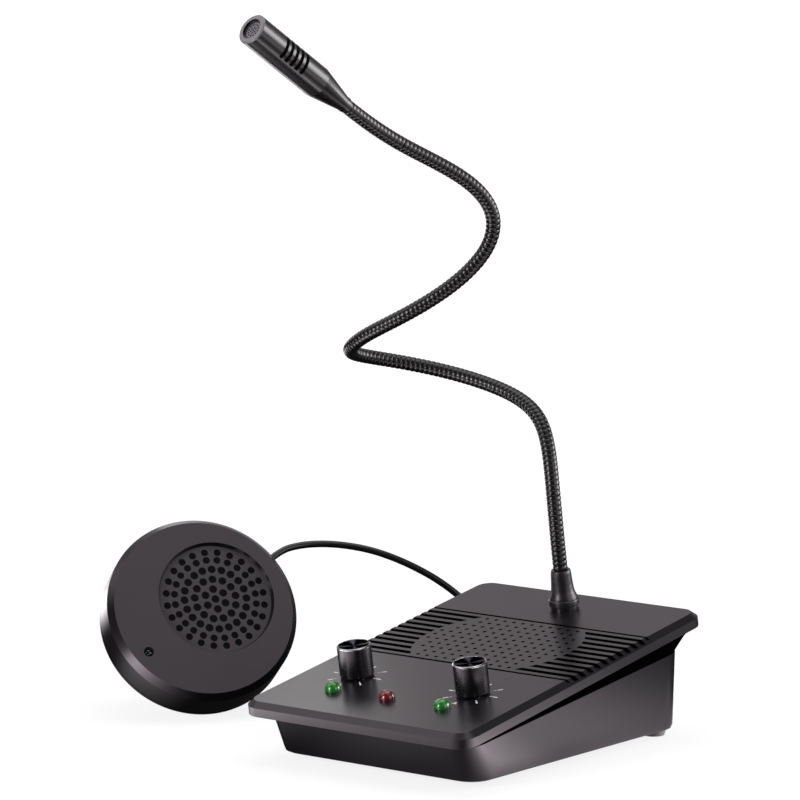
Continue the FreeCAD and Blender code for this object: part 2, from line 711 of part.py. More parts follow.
def lower_housing():
    shell = housing_body().cut(housing_cavity())
    shell = shell.cut(above(PARTING_FRONT, PARTING_REAR))
    in_floor = FLOOR_TOP - HOUSING_WALL / 2
    posts = []
    for x, y in shell_screw_places():
        posts.append(cylinder(SHELL_POST_R, SHELL_POST_TOP - in_floor, V(x, y, in_floor)))
    for x, y in main_post_places():
        posts.append(cylinder(MAIN_POST_R, MAIN_POST + HOUSING_WALL / 2, V(x, y, in_floor)))
    shell = shell.multiFuse(posts)
    cuts = []
    for x, y in shell_screw_places():
        head_top = SHELL_POST_TOP - SHELL_SCREW_GRIP / 2
        cuts.append(cylinder(SHELL_SCREW_HEAD_R + BODY_GAP, head_top, V(x, y, 0)))
        cuts.append(cylinder(SHELL_SCREW_R + RUNNING_GAP, SHELL_POST_TOP, V(x, y, OVERRUN)))
    for x, y in foot_places():
        cuts.append(cylinder(FOOT_R, HOUSING_BOTTOM + FOOT_SINK, V(x, y, 0)))
    for x, y in main_post_places():
        cuts.append(cylinder(BOARD_SCREW_R, BOARD_SCREW_GRIP,
                             V(x, y, FLOOR_TOP + MAIN_POST - BOARD_SCREW_GRIP)))
    through = 2 * (REAR_INSET + HOUSING_WALL)
    start = HALF_Y - through
    for x, radius in ((LINE_X, LINE_COLLAR_R), (DC_X, DC_COLLAR_R)):
        cuts.append(cylinder(radius + COLLAR_GAP, through, V(x, start, SOCKET_HEIGHT), Y_AXIS))
    half_height = SWITCH_BODY_Z / 2 + COLLAR_GAP
    window = box(SWITCH_BODY_X / 2 + COLLAR_GAP, start, start + through,
                 SWITCH_Z - half_height, SWITCH_Z + half_height)
    half_seat = SWITCH_BEZEL_Z / 2 + COLLAR_GAP
    seat = box(SWITCH_BEZEL_X / 2 + COLLAR_GAP, rear_wall_at(SWITCH_Z), HALF_Y,
               SWITCH_Z - half_seat, SWITCH_Z + half_seat)
    for cut in (window, seat):
        cut.translate(V(SWITCH_X, 0, 0))
        cuts.append(cut)
    return shell.cut(cuts)


def rubber_feet():
    feet = []
    for x, y in foot_places():
        pad = Part.makeCone(FOOT_R - FOOT_TAPER, FOOT_R, HOUSING_BOTTOM, V(x, y, 0))
        root = cylinder(FOOT_R, FOOT_SINK, V(x, y, HOUSING_BOTTOM))
        feet.append(pad.fuse(root).removeSplitter())
    return Part.makeCompound(feet)


def screw(shank_r, shank, head_r, head, tip_at, axis):
    """A pan head screw whose shank ends at tip_at, with its slotted head at the other end."""
    seat = tip_at - axis * shank
    body = cylinder(shank_r, shank, seat, axis)
    cap = cylinder(head_r, head, seat - axis * head, axis)
    width = 2 * head * SCREW_SLOT_SHARE
    slot = Part.makeBox(2 * head_r, width, head, V(-head_r, -width / 2, -head / 2))
    slot.Placement = Place(seat - axis * head, Turn(Z_AXIS, axis))
    return body.fuse(cap).removeSplitter().cut(slot)


def shell_screws():
    screws = []
    for x, y in shell_screw_places():
        head_top = SHELL_POST_TOP - SHELL_SCREW_GRIP / 2
        tip = V(x, y, SHELL_POST_TOP + SHELL_SCREW_GRIP - RUNNING_GAP)
        screws.append(screw(SHELL_SCREW_R, tip.z - head_top, SHELL_SCREW_HEAD_R, SHELL_SCREW_HEAD,
                            tip, Z_AXIS))
    return Part.makeCompound(screws)


# Loudspeaker

def basket(at, flange, rim_r, sheet, outer_r, flange_depth, low, back_r, throat_r):
    """A loudspeaker frame: a flat flange, a sloped basket and a flat back with a hole."""
    return spun([(rim_r + sheet, flange), (outer_r, flange), (outer_r, flange - flange_depth),
                 (rim_r + 2 * sheet, flange - flange_depth), (back_r, low), (throat_r, low),
                 (throat_r, low + sheet), (back_r - sheet, low + sheet)], at)


def cone_shell(at, rim, basket_r, throat, throat_r):
    """A thin paper cone from its rim down to its throat, closed at the throat."""
    thin = CONE_SHEET
    rim_r = basket_r - CONE_EDGE_GAP
    return spun([(0, throat), (throat_r, throat), (rim_r - thin, rim), (rim_r, rim),
                 (rim_r, rim - thin), (throat_r, throat - thin), (0, throat - thin)], at)


def speaker_parts():
    place = PLATE.multiply(Place(V(0, BAND_CENTRE, COVER_UNDER), Turn()))
    middle = V(0, 0, 0)
    gasket = ring(SPEAKER_R, GASKET_IN_R, GASKET, V(0, 0, -GASKET))
    parts["speaker_gasket"] = placed(gasket, place)
    flange = -GASKET
    low = flange - SPEAKER_BASKET
    frame = basket(middle, flange, CONE_R, SPEAKER_SHEET, SPEAKER_R, SPEAKER_FLANGE, low,
                   SPEAKER_NECK_R, CONE_THROAT_R + SPEAKER_SHEET)
    parts["speaker_frame"] = placed(frame, place)
    magnet = cylinder(SPEAKER_MAGNET_R, SPEAKER_MAGNET, V(0, 0, low - SPEAKER_MAGNET))
    parts["speaker_magnet"] = placed(magnet, place)
    throat = flange - CONE_DEPTH
    cone = cone_shell(middle, flange, CONE_R, throat, CONE_THROAT_R)
    dome = spun([(0, throat), (CONE_THROAT_R, throat), (CONE_THROAT_R / 2, throat + CONE_DOME / 2),
                 (0, throat + CONE_DOME)])
    stem_low = low + VOICE_COIL_GAP
    stem = cylinder(CONE_THROAT_R - CONE_SHEET, throat - CONE_SHEET / 2 - stem_low, V(0, 0, stem_low))
    parts["speaker_cone"] = placed(fuse_all([cone, dome, stem]), place)


# Volume controls

def knob():
    """A plain round knob with a chamfered top, a pocket for its cap and one pointer line."""
    start = KNOB_GAP
    low_edge = KNOB_CHAMFER / 2
    body = spun([(0, start), (KNOB_R - low_edge, start), (KNOB_R, start + low_edge),
                 (KNOB_R, KNOB_HEIGHT - KNOB_CHAMFER), (KNOB_R - KNOB_CHAMFER, KNOB_HEIGHT),
                 (0, KNOB_HEIGHT)])
    pocket = cylinder(KNOB_CAP_R + RUNNING_GAP, KNOB_CAP + KNOB_CAP_SINK + OVERRUN,
                      V(0, 0, KNOB_HEIGHT - KNOB_CAP_SINK - KNOB_CAP))
    shaft_hole = cylinder(POT_SHAFT_R, POT_SHAFT_IN_KNOB + OVERRUN, V(0, 0, start - OVERRUN))
    room = cylinder(POT_BUSH_R + BODY_GAP, 2 * OVERRUN + BODY_GAP, V(0, 0, start - 2 * OVERRUN))
    mark = Part.makeBox(KNOB_MARK_WIDTH, 2 * KNOB_MARK_DEPTH, KNOB_HEIGHT * KNOB_MARK_SHARE,
                        V(-KNOB_MARK_WIDTH / 2, KNOB_R - KNOB_MARK_DEPTH, 0))
    return body.cut([pocket, shaft_hole, room, mark])


def knob_cap():
    top = KNOB_HEIGHT - KNOB_CAP_SINK
    return cylinder(KNOB_CAP_R, KNOB_CAP, V(0, 0, top - KNOB_CAP))


def pot_shaft():
    start = COVER_UNDER - PLATE_RISE - CONTROL_DEPTH + POT_BODY - POT_ROTOR_SINK
    return cylinder(POT_SHAFT_R, KNOB_GAP + POT_SHAFT_IN_KNOB - start, V(0, 0, start))


def pot_body():
    low = COVER_UNDER - PLATE_RISE - CONTROL_DEPTH
    can = cylinder(POT_BODY_R, POT_BODY, V(0, 0, low))
    bush = cylinder(POT_BUSH_R, KNOB_GAP - low - POT_BODY, V(0, 0, low + POT_BODY))
    well = cylinder(POT_SHAFT_R + RUNNING_GAP, FAR, V(0, 0, low + POT_BODY - POT_ROTOR_SINK - SEAT_GAP))
    return can.fuse(bush).removeSplitter().cut(well)


def volume_controls():
    for side, sx in (("left", -1), ("right", 1)):
        x = KNOB_ROW_X + sx * KNOB_X
        parts[side + "_knob"] = on_plate(knob(), x, KNOB_S, PLATE_RISE)
        parts[side + "_knob_cap"] = on_plate(knob_cap(), x, KNOB_S, PLATE_RISE)
        parts[side + "_pot_shaft"] = on_plate(pot_shaft(), x, KNOB_S, PLATE_RISE)
        parts[side + "_pot"] = on_plate(pot_body(), x, KNOB_S, PLATE_RISE)


# Indicator lamps

def lamp():
    """A domed lens whose flange stops it under the plate."""
    dome = Part.makeSphere(LAMP_R, V(0, 0, PLATE_RISE + LAMP_NECK), Z_AXIS, 0, QUARTER_TURN,
                           FULL_TURN)
    stem = cylinder(LAMP_R, PLATE_RISE + LAMP_NECK - COVER_UNDER, V(0, 0, COVER_UNDER))
    flange = cylinder(LAMP_FLANGE_R, LAMP_FLANGE, V(0, 0, COVER_UNDER - LAMP_FLANGE))
    return fuse_all([dome, stem, flange])


def lamp_holder():
    top = COVER_UNDER - LAMP_FLANGE
    low = COVER_UNDER - CONTROL_DEPTH
    return cylinder(LAMP_R, top - low, V(0, 0, low))


def lamps():
    names = ("left_lamp", "power_lamp", "right_lamp")
    holders = []
    for name, sx in zip(names, (-1, 0, 1)):
        x = LAMP_ROW_X + sx * LAMP_X
        parts[name] = on_plate(lamp(), x, LAMP_S, 0)
        holders.append(on_plate(lamp_holder(), x, LAMP_S, 0))
    parts["lamp_holders"] = Part.makeCompound(holders)


# Boards

def board_screws(places, tip_z, axis, placement):
    """Screws that reach through a board into the bosses behind it."""
    screws = []
    for x, y in places:
        one = screw(BOARD_SCREW_R, BOARD_SCREW_GRIP + BOARD - RUNNING_GAP, BOARD_SCREW_HEAD_R,
                    BOARD_SCREW_HEAD, V(x, y, tip_z), axis)
        screws.append(placed(one, placement))
    return screws


def board(half_x, y0, y1, z, hole_places):
    """A circuit board with a clearance hole for each of its screws."""
    plate = box(half_x, y0, y1, z, z + BOARD)
    return plate.cut([bore(BOARD_SCREW_R + RUNNING_GAP, V(x, y, z)) for x, y in hole_places])


def control_board():
    low = COVER_UNDER - CONTROL_DEPTH - BOARD
    plate = board(CONTROL_HALF_X, CONTROL_S_FRONT, CONTROL_S_REAR, low, control_boss_places())
    parts["control_board"] = placed(plate, PLATE)


def main_board():
    low = FLOOR_TOP + MAIN_POST
    rear = HALF_Y - MAIN_Y_REAR_IN
    parts["main_board"] = board(MAIN_HALF_X, MAIN_Y_FRONT, rear, low, main_post_places())
    in_boss = COVER_UNDER - CONTROL_DEPTH + BOARD_SCREW_GRIP - RUNNING_GAP
    in_post = low - BOARD_SCREW_GRIP + RUNNING_GAP
    screws = board_screws(control_boss_places(), in_boss, Z_AXIS, PLATE)
    screws += board_screws(main_post_places(), in_post, -Z_AXIS, Place())
    parts["board_screws"] = Part.makeCompound(screws)


def board_components():
    """The chip, the regulator and the row of capacitors on the main board."""
    top = FLOOR_TOP + MAIN_POST + BOARD
    chip_y = (MAIN_Y_FRONT + HALF_Y - MAIN_Y_REAR_IN) / 2
    chip_at = V(CHIP_X - CHIP_SIZE / 2, chip_y - CHIP_SIZE / 2, top)
    pieces = [Part.makeBox(CHIP_SIZE, CHIP_SIZE, CHIP_THICK, chip_at)]
    pieces.append(Part.makeBox(REGULATOR_WIDTH, REGULATOR_THICK, REGULATOR_HEIGHT,
                               V(REGULATOR_X, MAIN_Y_FRONT + MAIN_POST_IN, top)))
    can_y = MAIN_Y_FRONT + 2 * MAIN_POST_IN
    for index in range(CAN_COUNT):
        pieces.append(cylinder(CAN_R, CAN_HEIGHT, V(CAN_X + CAN_PITCH * index, can_y, top)))
    return Part.makeCompound(pieces)


# Rear sockets and power switch

def socket(x, width, height, depth, collar_r):
    """A socket's block on its foot behind the rear wall, with a collar out through the wall."""
    behind = rear_wall_at(SOCKET_HEIGHT) - HOUSING_WALL - BODY_GAP
    low = SOCKET_HEIGHT - height / 2
    block = box(width / 2, behind - depth, behind, low, low + height)
    foot = box(width / 2, behind - depth, HALF_Y - MAIN_Y_REAR_IN, FLOOR_TOP + MAIN_POST + BOARD, low)
    solid = block.fuse(foot)
    solid.translate(V(x, 0, 0))
    collar = cylinder(collar_r, socket_mouth_y() - behind, V(x, behind, SOCKET_HEIGHT), Y_AXIS)
    return solid.fuse(collar).removeSplitter()


def rear_wall_at(z):
    """How far back the rear wall's outer face is at a height."""
    share = (z - LOW) / (PARTING_REAR - LOW)
    return HALF_Y - REAR_INSET_LOW - (REAR_INSET - REAR_INSET_LOW) * share


def socket_mouth_y():
    return rear_wall_at(SOCKET_HEIGHT) + COLLAR_PROUD + REAR_INSET_LOW - REAR_INSET


def rear_sockets():
    mouth = socket_mouth_y()
    line = socket(LINE_X, LINE_BLOCK_WIDTH, LINE_BLOCK_HEIGHT, LINE_BORE, LINE_COLLAR_R)
    well = cylinder(LINE_BORE_R, FAR, V(LINE_X, mouth - LINE_BORE, SOCKET_HEIGHT), Y_AXIS)
    parts["line_socket"] = line.cut(well)
    power = socket(DC_X, DC_BLOCK_WIDTH, DC_BLOCK_HEIGHT, DC_BLOCK_DEPTH, DC_COLLAR_R)
    well = cylinder(DC_BORE_R, FAR, V(DC_X, mouth - DC_BORE, SOCKET_HEIGHT), Y_AXIS)
    pin = cylinder(DC_PIN_R, DC_BORE, V(DC_X, mouth - DC_BORE - DC_PIN_R, SOCKET_HEIGHT), Y_AXIS)
    parts["power_socket"] = power.cut(well).fuse(pin).removeSplitter()


def switch_frame():
    face = rear_wall_at(SWITCH_Z)
    front = face + SWITCH_BEZEL
    half_bezel = SWITCH_BEZEL_Z / 2
    half_body = SWITCH_BODY_Z / 2
    half_well = ROCKER_Z / 2 + ROCKER_END_GAP
    bezel = box(SWITCH_BEZEL_X / 2, face, front, -half_bezel, half_bezel)
    body = box(SWITCH_BODY_X / 2, face - SWITCH_BODY_DEPTH, face, -half_body, half_body)
    well = box(ROCKER_X / 2 + BODY_GAP, face - SWITCH_BODY_DEPTH + SWITCH_FLOOR, front + OVERRUN,
               -half_well, half_well)
    ears = cylinder(ROCKER_PIN_R + RUNNING_GAP, SWITCH_BODY_X - 2 * BODY_GAP,
                    V(BODY_GAP - SWITCH_BODY_X / 2, front - ROCKER_PIN_IN, 0), X_AXIS)
    frame = bezel.fuse(body).removeSplitter().cut([well, ears])
    frame.translate(V(SWITCH_X, 0, SWITCH_Z))
    return frame


def switch_rocker():
    """A shallow V on a pin across the frame, at rest with its upper half pressed in."""
    pivot_y = rear_wall_at(SWITCH_Z) + SWITCH_BEZEL - ROCKER_PIN_IN
    half = ROCKER_Z / 2
    waist = ROCKER_PIN_IN + ROCKER_PROUD
    end = waist + half * math.tan(math.radians(ROCKER_TILT))
    corners = [V(0, -ROCKER_DEPTH, 0), V(0, 0, -half), V(0, end, -half), V(0, waist, 0),
               V(0, end, half), V(0, 0, half)]
    corners.append(corners[0])
    wedge = Part.Face(Part.makePolygon(corners)).extrude(V(ROCKER_X, 0, 0))
    wedge.translate(V(-ROCKER_X / 2, 0, 0))
    half_pin = SWITCH_BODY_X / 2 - 2 * BODY_GAP
    pin = cylinder(ROCKER_PIN_R, 2 * half_pin, V(-half_pin, 0, 0), X_AXIS)
    rocker = wedge.fuse(pin).removeSplitter()
    rocker.Placement = Place(V(SWITCH_X, pivot_y, SWITCH_Z), Turn(X_AXIS, ROCKER_TILT))
    return rocker


# Gooseneck

def neck_path():
    """The neck's centre line, from the boot's top to the microphone's tail."""
    start = plate_point(BOOT_X, BOOT_S, PLATE_RISE + BOOT_HEIGHT)
    poles = [start, start + PLATE_NORMAL * NECK_START]
    for x, y, z in NECK_SHARES:
        poles.append(start + V(x, y, z) * NECK_RISE)
    curve = Part.BSplineCurve()
    curve.buildFromPoles(poles, False, NECK_SPLINE_DEGREE)
    return curve.toShape()


def stations(edge, lengths):
    """Centre, direction and a steady sideways axis at each length along the edge."""
    found = []
    side = X_AXIS
    for length in lengths:
        at = edge.getParameterByLength(min(length, edge.Length))
        along = edge.tangentAt(at)
        side = side - along * side.dot(along)
        side.normalize()
        found.append((edge.valueAt(at), along, V(side)))
    return found


def ring_wire(centre, along, side, radius):
    circle = Part.Circle(centre, along, radius)
    circle.XAxis = side
    return Part.Wire([circle.toShape()])


def bore_loft(marks, radius):
    """A round cutter through the marks that runs on past both ends."""
    centre, along, side = marks[0]
    wires = [ring_wire(centre - along * OVERRUN, along, side, radius)]
    wires += [ring_wire(c, a, s, radius) for c, a, s in marks]
    centre, along, side = marks[-1]
    wires.append(ring_wire(centre + along * OVERRUN, along, side, radius))
    return Part.makeLoft(wires, True, True)


def ribbed_tube(edge, start, ribs, pitch, plain_end):
    """A bored tube with round ribs, from start along the edge, with a plain end if asked."""
    rib_radii = (NECK_CORE_R, NECK_R, NECK_R, NECK_CORE_R)
    lengths = [start]
    radii = [NECK_CORE_R]
    for index in range(ribs):
        for share, radius in zip(RIB_RISE_SHARES, rib_radii):
            lengths.append(start + (index + share) * pitch)
            radii.append(radius)
    lengths.append(start + ribs * pitch + plain_end)
    radii.append(NECK_CORE_R)
    marks = stations(edge, lengths)
    wires = [ring_wire(c, a, s, r) for (c, a, s), r in zip(marks, radii)]
    outer = Part.makeLoft(wires, True, True)
    inner_marks = [marks[0]] + marks[2:-2:len(rib_radii)] + [marks[-1]]
    return outer.cut(bore_loft(inner_marks, NECK_BORE_R))


def neck_layout(edge):
    """Where each stretch of the neck starts, and how many ribs it has."""
    ribbed = edge.Length - NECK_END_PLAIN
    total = int(ribbed / RIB_PITCH)
    pitch = ribbed / total
    main = total - ROOT_RIBS - LOWER_RIBS - WAIST_RIBS - TIP_RIBS
    counts = (("neck_root", ROOT_RIBS), ("neck_lower", LOWER_RIBS), ("neck_waist", WAIST_RIBS),
              ("neck_main", main), ("neck_tip", TIP_RIBS))
    layout = []
    start = 0
    for name, count in counts:
        layout.append((name, start, count, pitch))
        start += count * pitch
    return layout


def gooseneck():
    edge = neck_path()
    for name, start, count, pitch in neck_layout(edge):
        plain = NECK_END_PLAIN if name == "neck_tip" else 0
        parts[name] = ribbed_tube(edge, start, count, pitch, plain)
        middle, along, _ = stations(edge, [start + count * pitch / 2])[0]
        print(name, "starts", round(start, 2), "ribs", count, "middle", middle, "along", along)
    print("neck length", round(edge.Length, 2))
    return edge


def neck_mounting():
    """The collar, its nut, the rubber boot and the straight stub of neck inside the boot."""
    flange = cylinder(COLLAR_FLANGE_R, COLLAR_FLANGE, V(0, 0, PLATE_RISE))
    thread = cylinder(COLLAR_THREAD_R, PLATE_RISE + COLLAR_THREAD_BELOW, V(0, 0, -COLLAR_THREAD_BELOW))
    collar = flange.fuse(thread).removeSplitter().cut(bore(COLLAR_BORE_R))
    parts["neck_collar"] = on_plate(collar, BOOT_X, BOOT_S, 0)
    corners = circle_places(NUT_SIDES, NECK_NUT_R)
    corners.append(corners[0])
    nut = Part.Face(Part.makePolygon(corners)).extrude(V(0, 0, NECK_NUT))
    nut = nut.cut(bore(COLLAR_THREAD_R))
    parts["neck_nut"] = on_plate(nut, BOOT_X, BOOT_S, COVER_UNDER - NECK_NUT)
    profile = [(NECK_CORE_R + RUNNING_GAP, BOOT_HEIGHT), (NECK_CORE_R + RUNNING_GAP, COLLAR_FLANGE)]
    for radius_share, height_share in zip(BOOT_RADIUS_SHARES, BOOT_HEIGHT_SHARES):
        profile.append((BOOT_SKIRT_R * radius_share, BOOT_HEIGHT * height_share))
    parts["neck_boot"] = on_plate(spun(profile), BOOT_X, BOOT_S, PLATE_RISE)
    stub = ring(NECK_CORE_R, NECK_BORE_R, BOOT_HEIGHT - COLLAR_FLANGE, V(0, 0, COLLAR_FLANGE))
    parts["neck_stub"] = on_plate(stub, BOOT_X, BOOT_S, PLATE_RISE)


# Microphone head

def mic_place(edge):
    end, along, side = stations(edge, [0, edge.Length / 2, edge.Length])[-1]
    return Place(end, Turn(side, along.cross(side), along, "ZXY"))


def mic_body(place, shoulder, front):
    """The tapered tail, the slotted barrel and the sleeve that shows dark in the slots."""
    inner = BARREL_R - BARREL_WALL
    tail = spun([(0, 0), (TAIL_R, 0), (TAIL_R, TAIL_LIP), (BARREL_R, shoulder),
                 (inner, shoulder), (inner, shoulder + SPIGOT), (0, shoulder + SPIGOT)])
    parts["mic_tail"] = placed(tail.cut(bore(NECK_BORE_R)), place)
    barrel = ring(BARREL_R, inner, front - RING_LENGTH - shoulder, V(0, 0, shoulder))
    vents = []
    for index in range(VENT_COUNT):
        low = front - VENT_FIRST - VENT_PITCH * index - VENT_WIDTH / 2
        sector = Part.makeCylinder(BARREL_R + OVERRUN, VENT_WIDTH, V(0, 0, low), Z_AXIS, VENT_SWEEP)
        sector.rotate(V(0, 0, 0), Z_AXIS, VENT_TURN - VENT_SWEEP / 2)
        vents.append(sector)
    parts["mic_barrel"] = placed(barrel.cut(vents), place)
    start = V(0, 0, front - LINER_START - LINER_LENGTH)
    liner_in = LINER_R - LINER_WALL
    sleeve = ring(LINER_R, liner_in, LINER_LENGTH, start)
    foot = ring(inner, liner_in, LINER_WALL, start)
    parts["mic_liner"] = placed(sleeve.fuse(foot).removeSplitter(), place)


def mic_front(place, front):
    """The ring and mesh on the microphone's face, and the capsule behind them."""
    ring_inner = BARREL_R - RING_WIDTH
    back = front - RING_LENGTH
    bezel = spun([(ring_inner, back), (BARREL_R, back), (BARREL_R, front - RING_EDGE),
                  (BARREL_R - RING_EDGE, front), (ring_inner, front)])
    parts["mic_ring"] = placed(bezel, place)
    mesh_low = front - MESH_SINK - MESH_THICK
    mesh = cylinder(ring_inner, MESH_THICK, V(0, 0, mesh_low))
    holes = [bore(MESH_HOLE_R)]
    for index in range(1, MESH_RINGS + 1):
        places = circle_places(MESH_HOLES_PER_RING * index, MESH_PITCH * index)
        holes += [bore(MESH_HOLE_R, p) for p in places]
    parts["mic_mesh"] = placed(mesh.cut(holes), place)
    seat_low = mesh_low - CAPSULE_LENGTH
    capsule = cylinder(CAPSULE_R, CAPSULE_LENGTH, V(0, 0, seat_low))
    seat = cylinder(BARREL_R - BARREL_WALL, CAPSULE_LENGTH / 2, V(0, 0, seat_low))
    parts["mic_capsule"] = placed(capsule.fuse(seat).removeSplitter(), place)


def mic_head(edge):
    place = mic_place(edge)
    front = TAIL_LENGTH + BARREL_LENGTH
    mic_body(place, TAIL_LENGTH, front)
    mic_front(place, front)
    print("microphone starts", place.Base, "axis", place.Rotation.multVec(Z_AXIS))
    print("its sides", place.Rotation.multVec(X_AXIS), place.Rotation.multVec(Y_AXIS))


# Outdoor unit

def puck_screw_places():
    return [V(PUCK_BOSS_CIRCLE * math.cos(math.radians(a)), PUCK_BOSS_CIRCLE * math.sin(math.radians(a)), 0)
            for a in PUCK_SCREW_ANGLES]


def puck_hole_cuts(low):
    """The rings of sound holes in the recess."""
    holes = []
    small_from = len(RING_COUNTS) - OUTER_RINGS
    for index, (count, share) in enumerate(zip(RING_COUNTS, RING_RADIUS_SHARES)):
        hole_r = PUCK_HOLE_R if index < small_from else PUCK_OUTER_HOLE_R
        for p in circle_places(count, RECESS_INNER_R * share):
            holes.append(cylinder(hole_r, FAR, V(RECESS_X + p.x, p.y, low)))
    return holes


def puck_shell():
    """The round shell: chamfered rim, face, and a shallow recess that lies off its centre."""
    top = PUCK_DEPTH
    edge = top - PUCK_CHAMFER_DEPTH
    under = top - PUCK_FACE
    inner_r = PUCK_R - PUCK_WALL
    body = spun([(0, PUCK_BACK), (PUCK_R, PUCK_BACK), (PUCK_R, edge), (PUCK_R - PUCK_CHAMFER_IN, top),
                 (0, top)])
    room = spun([(0, PUCK_BACK - OVERRUN), (inner_r, PUCK_BACK - OVERRUN), (inner_r, edge),
                 (inner_r - PUCK_CHAMFER_IN, under), (0, under)])
    in_face = top - PUCK_FACE / 2
    floor_low = top - RECESS_DEPTH - RECESS_FLOOR
    cup = cylinder(RECESS_R + RECESS_FLOOR, in_face - floor_low, V(RECESS_X, 0, floor_low))
    sleeve = cylinder(MIC_SLEEVE_R, MIC_SLEEVE, V(MIC_X, 0, in_face - MIC_SLEEVE))
    bosses = [cylinder(PUCK_BOSS_R, in_face - PUCK_BACK, V(p.x, p.y, PUCK_BACK)).common(body)
              for p in puck_screw_places()]
    shell = body.cut(room).multiFuse([cup, sleeve] + bosses)
    recess = spun([(0, top - RECESS_DEPTH), (RECESS_R - RECESS_DRAFT, top - RECESS_DEPTH),
                   (RECESS_R, top), (RECESS_R, top + OVERRUN), (0, top + OVERRUN)], V(RECESS_X, 0, 0))
    cuts = [recess] + puck_hole_cuts(floor_low - OVERRUN)
    cuts.append(cylinder(MIC_HOLE_R, FAR, V(MIC_X, 0, PUCK_BACK)))
    for p in puck_screw_places():
        cuts.append(cylinder(PUCK_SCREW_R, PUCK_SCREW_GRIP, V(p.x, p.y, PUCK_BACK)))
    cuts.append(cylinder(GLAND_R + GLAND_GAP, FAR, V(0, 0, PUCK_DEPTH - GLAND_DEPTH), X_AXIS))
    cuts.append(ring(PUCK_R + OVERRUN, PUCK_R - PUCK_SEAM_DEPTH, PUCK_SEAM, V(0, 0, PUCK_BACK)))
    return shell.cut(cuts)


def puck_back():
    plate = spun([(0, 0), (PUCK_R - PUCK_BACK_EDGE, 0), (PUCK_R, PUCK_BACK_EDGE),
                  (PUCK_R, PUCK_BACK), (0, PUCK_BACK)])
    cuts = [cylinder(BRACKET_HUB_R + RUNNING_GAP, PUCK_BACK / 2, V(0, 0, 0)), bore(HUB_SCREW_R)]
    for p in puck_screw_places():
        cuts.append(bore(PUCK_SCREW_R + RUNNING_GAP, p))
        cuts.append(cylinder(PUCK_SCREW_HEAD_R + RUNNING_GAP, PUCK_SCREW_HEAD, p))
    return plate.cut(cuts)


def puck_screws():
    screws = []
    for p in puck_screw_places():
        tip = V(p.x, p.y, PUCK_BACK + PUCK_SCREW_GRIP - RUNNING_GAP)
        screws.append(screw(PUCK_SCREW_R, tip.z - PUCK_SCREW_HEAD, PUCK_SCREW_HEAD_R,
                            PUCK_SCREW_HEAD, tip, Z_AXIS))
    return Part.makeCompound(screws)


def puck_speaker():
    """The outdoor unit's loudspeaker, seated under the recess."""
    at = V(RECESS_X, 0, PUCK_DEPTH - RECESS_DEPTH - RECESS_FLOOR)
    gasket = ring(PUCK_SPEAKER_R, PUCK_GASKET_IN_R, PUCK_GASKET, at - Z_AXIS * PUCK_GASKET)
    parts["puck_gasket"] = placed(gasket, PUCK)
    flange = -PUCK_GASKET
    low = flange - PUCK_BASKET
    frame = basket(at, flange, PUCK_CONE_R, SPEAKER_SHEET, PUCK_SPEAKER_R, PUCK_SPEAKER_FLANGE, low,
                   PUCK_BASKET_R, PUCK_CONE_THROAT_R)
    magnet = cylinder(PUCK_MAGNET_R, PUCK_MAGNET, at + Z_AXIS * (low - PUCK_MAGNET))
    parts["puck_speaker"] = placed(frame.fuse(magnet).removeSplitter(), PUCK)
    throat = flange - PUCK_CONE_DEPTH
    cone = cone_shell(at, flange, PUCK_CONE_R, throat, PUCK_CONE_THROAT_R)
    parts["puck_cone"] = placed(cone, PUCK)


def puck_mic():
    top = PUCK_DEPTH - MIC_CAPSULE_SINK
    capsule = cylinder(MIC_CAPSULE_R, MIC_CAPSULE, V(MIC_X, 0, top - MIC_CAPSULE))
    parts["puck_mic"] = placed(capsule, PUCK)
    low = PUCK_DEPTH - PUCK_FACE / 2 - MIC_SLEEVE
    grommet = cylinder(MIC_HOLE_R, top - low, V(MIC_X, 0, low))
    grommet = grommet.cut(cylinder(MIC_CAPSULE_R, MIC_CAPSULE + OVERRUN, V(MIC_X, 0, top - MIC_CAPSULE)))
    parts["puck_mic_grommet"] = placed(grommet, PUCK)


def puck_bracket():
    """A round foot plate with a hub that seats in the back of the outdoor unit."""
    low = -BRACKET_STAND
    on_top = low + BRACKET_PLATE
    plate = cylinder(BRACKET_R, BRACKET_PLATE, V(0, 0, low))
    hub = cylinder(BRACKET_HUB_R, BRACKET_STAND + PUCK_BACK / 2, V(0, 0, low))
    web = Part.makeCone(BRACKET_HUB_R + BRACKET_PLATE, BRACKET_HUB_R, BRACKET_PLATE, V(0, 0, on_top))
    holes = [bore(HUB_SCREW_R + RUNNING_GAP)]
    holes.append(cylinder(HUB_SCREW_HEAD_R + BODY_GAP, BRACKET_STAND - HUB_SCREW_SEAT, V(0, 0, low)))
    for p in circle_places(BRACKET_BOLTS, BRACKET_BOLT_CIRCLE_R, BRACKET_BOLT_START_SHARE):
        holes.append(bore(BRACKET_BOLT_R, p))
    parts["puck_bracket"] = placed(fuse_all([plate, hub, web]).cut(holes), PUCK)
    tip = V(0, 0, PUCK_BACK)
    one = screw(HUB_SCREW_R, PUCK_BACK + HUB_SCREW_SEAT, HUB_SCREW_HEAD_R, HUB_SCREW_HEAD, tip, Z_AXIS)
    parts["puck_bracket_screw"] = placed(one, PUCK)


def gland_end():
    return PUCK.multVec(V(PUCK_R + GLAND_OUT, 0, PUCK_DEPTH - GLAND_DEPTH))


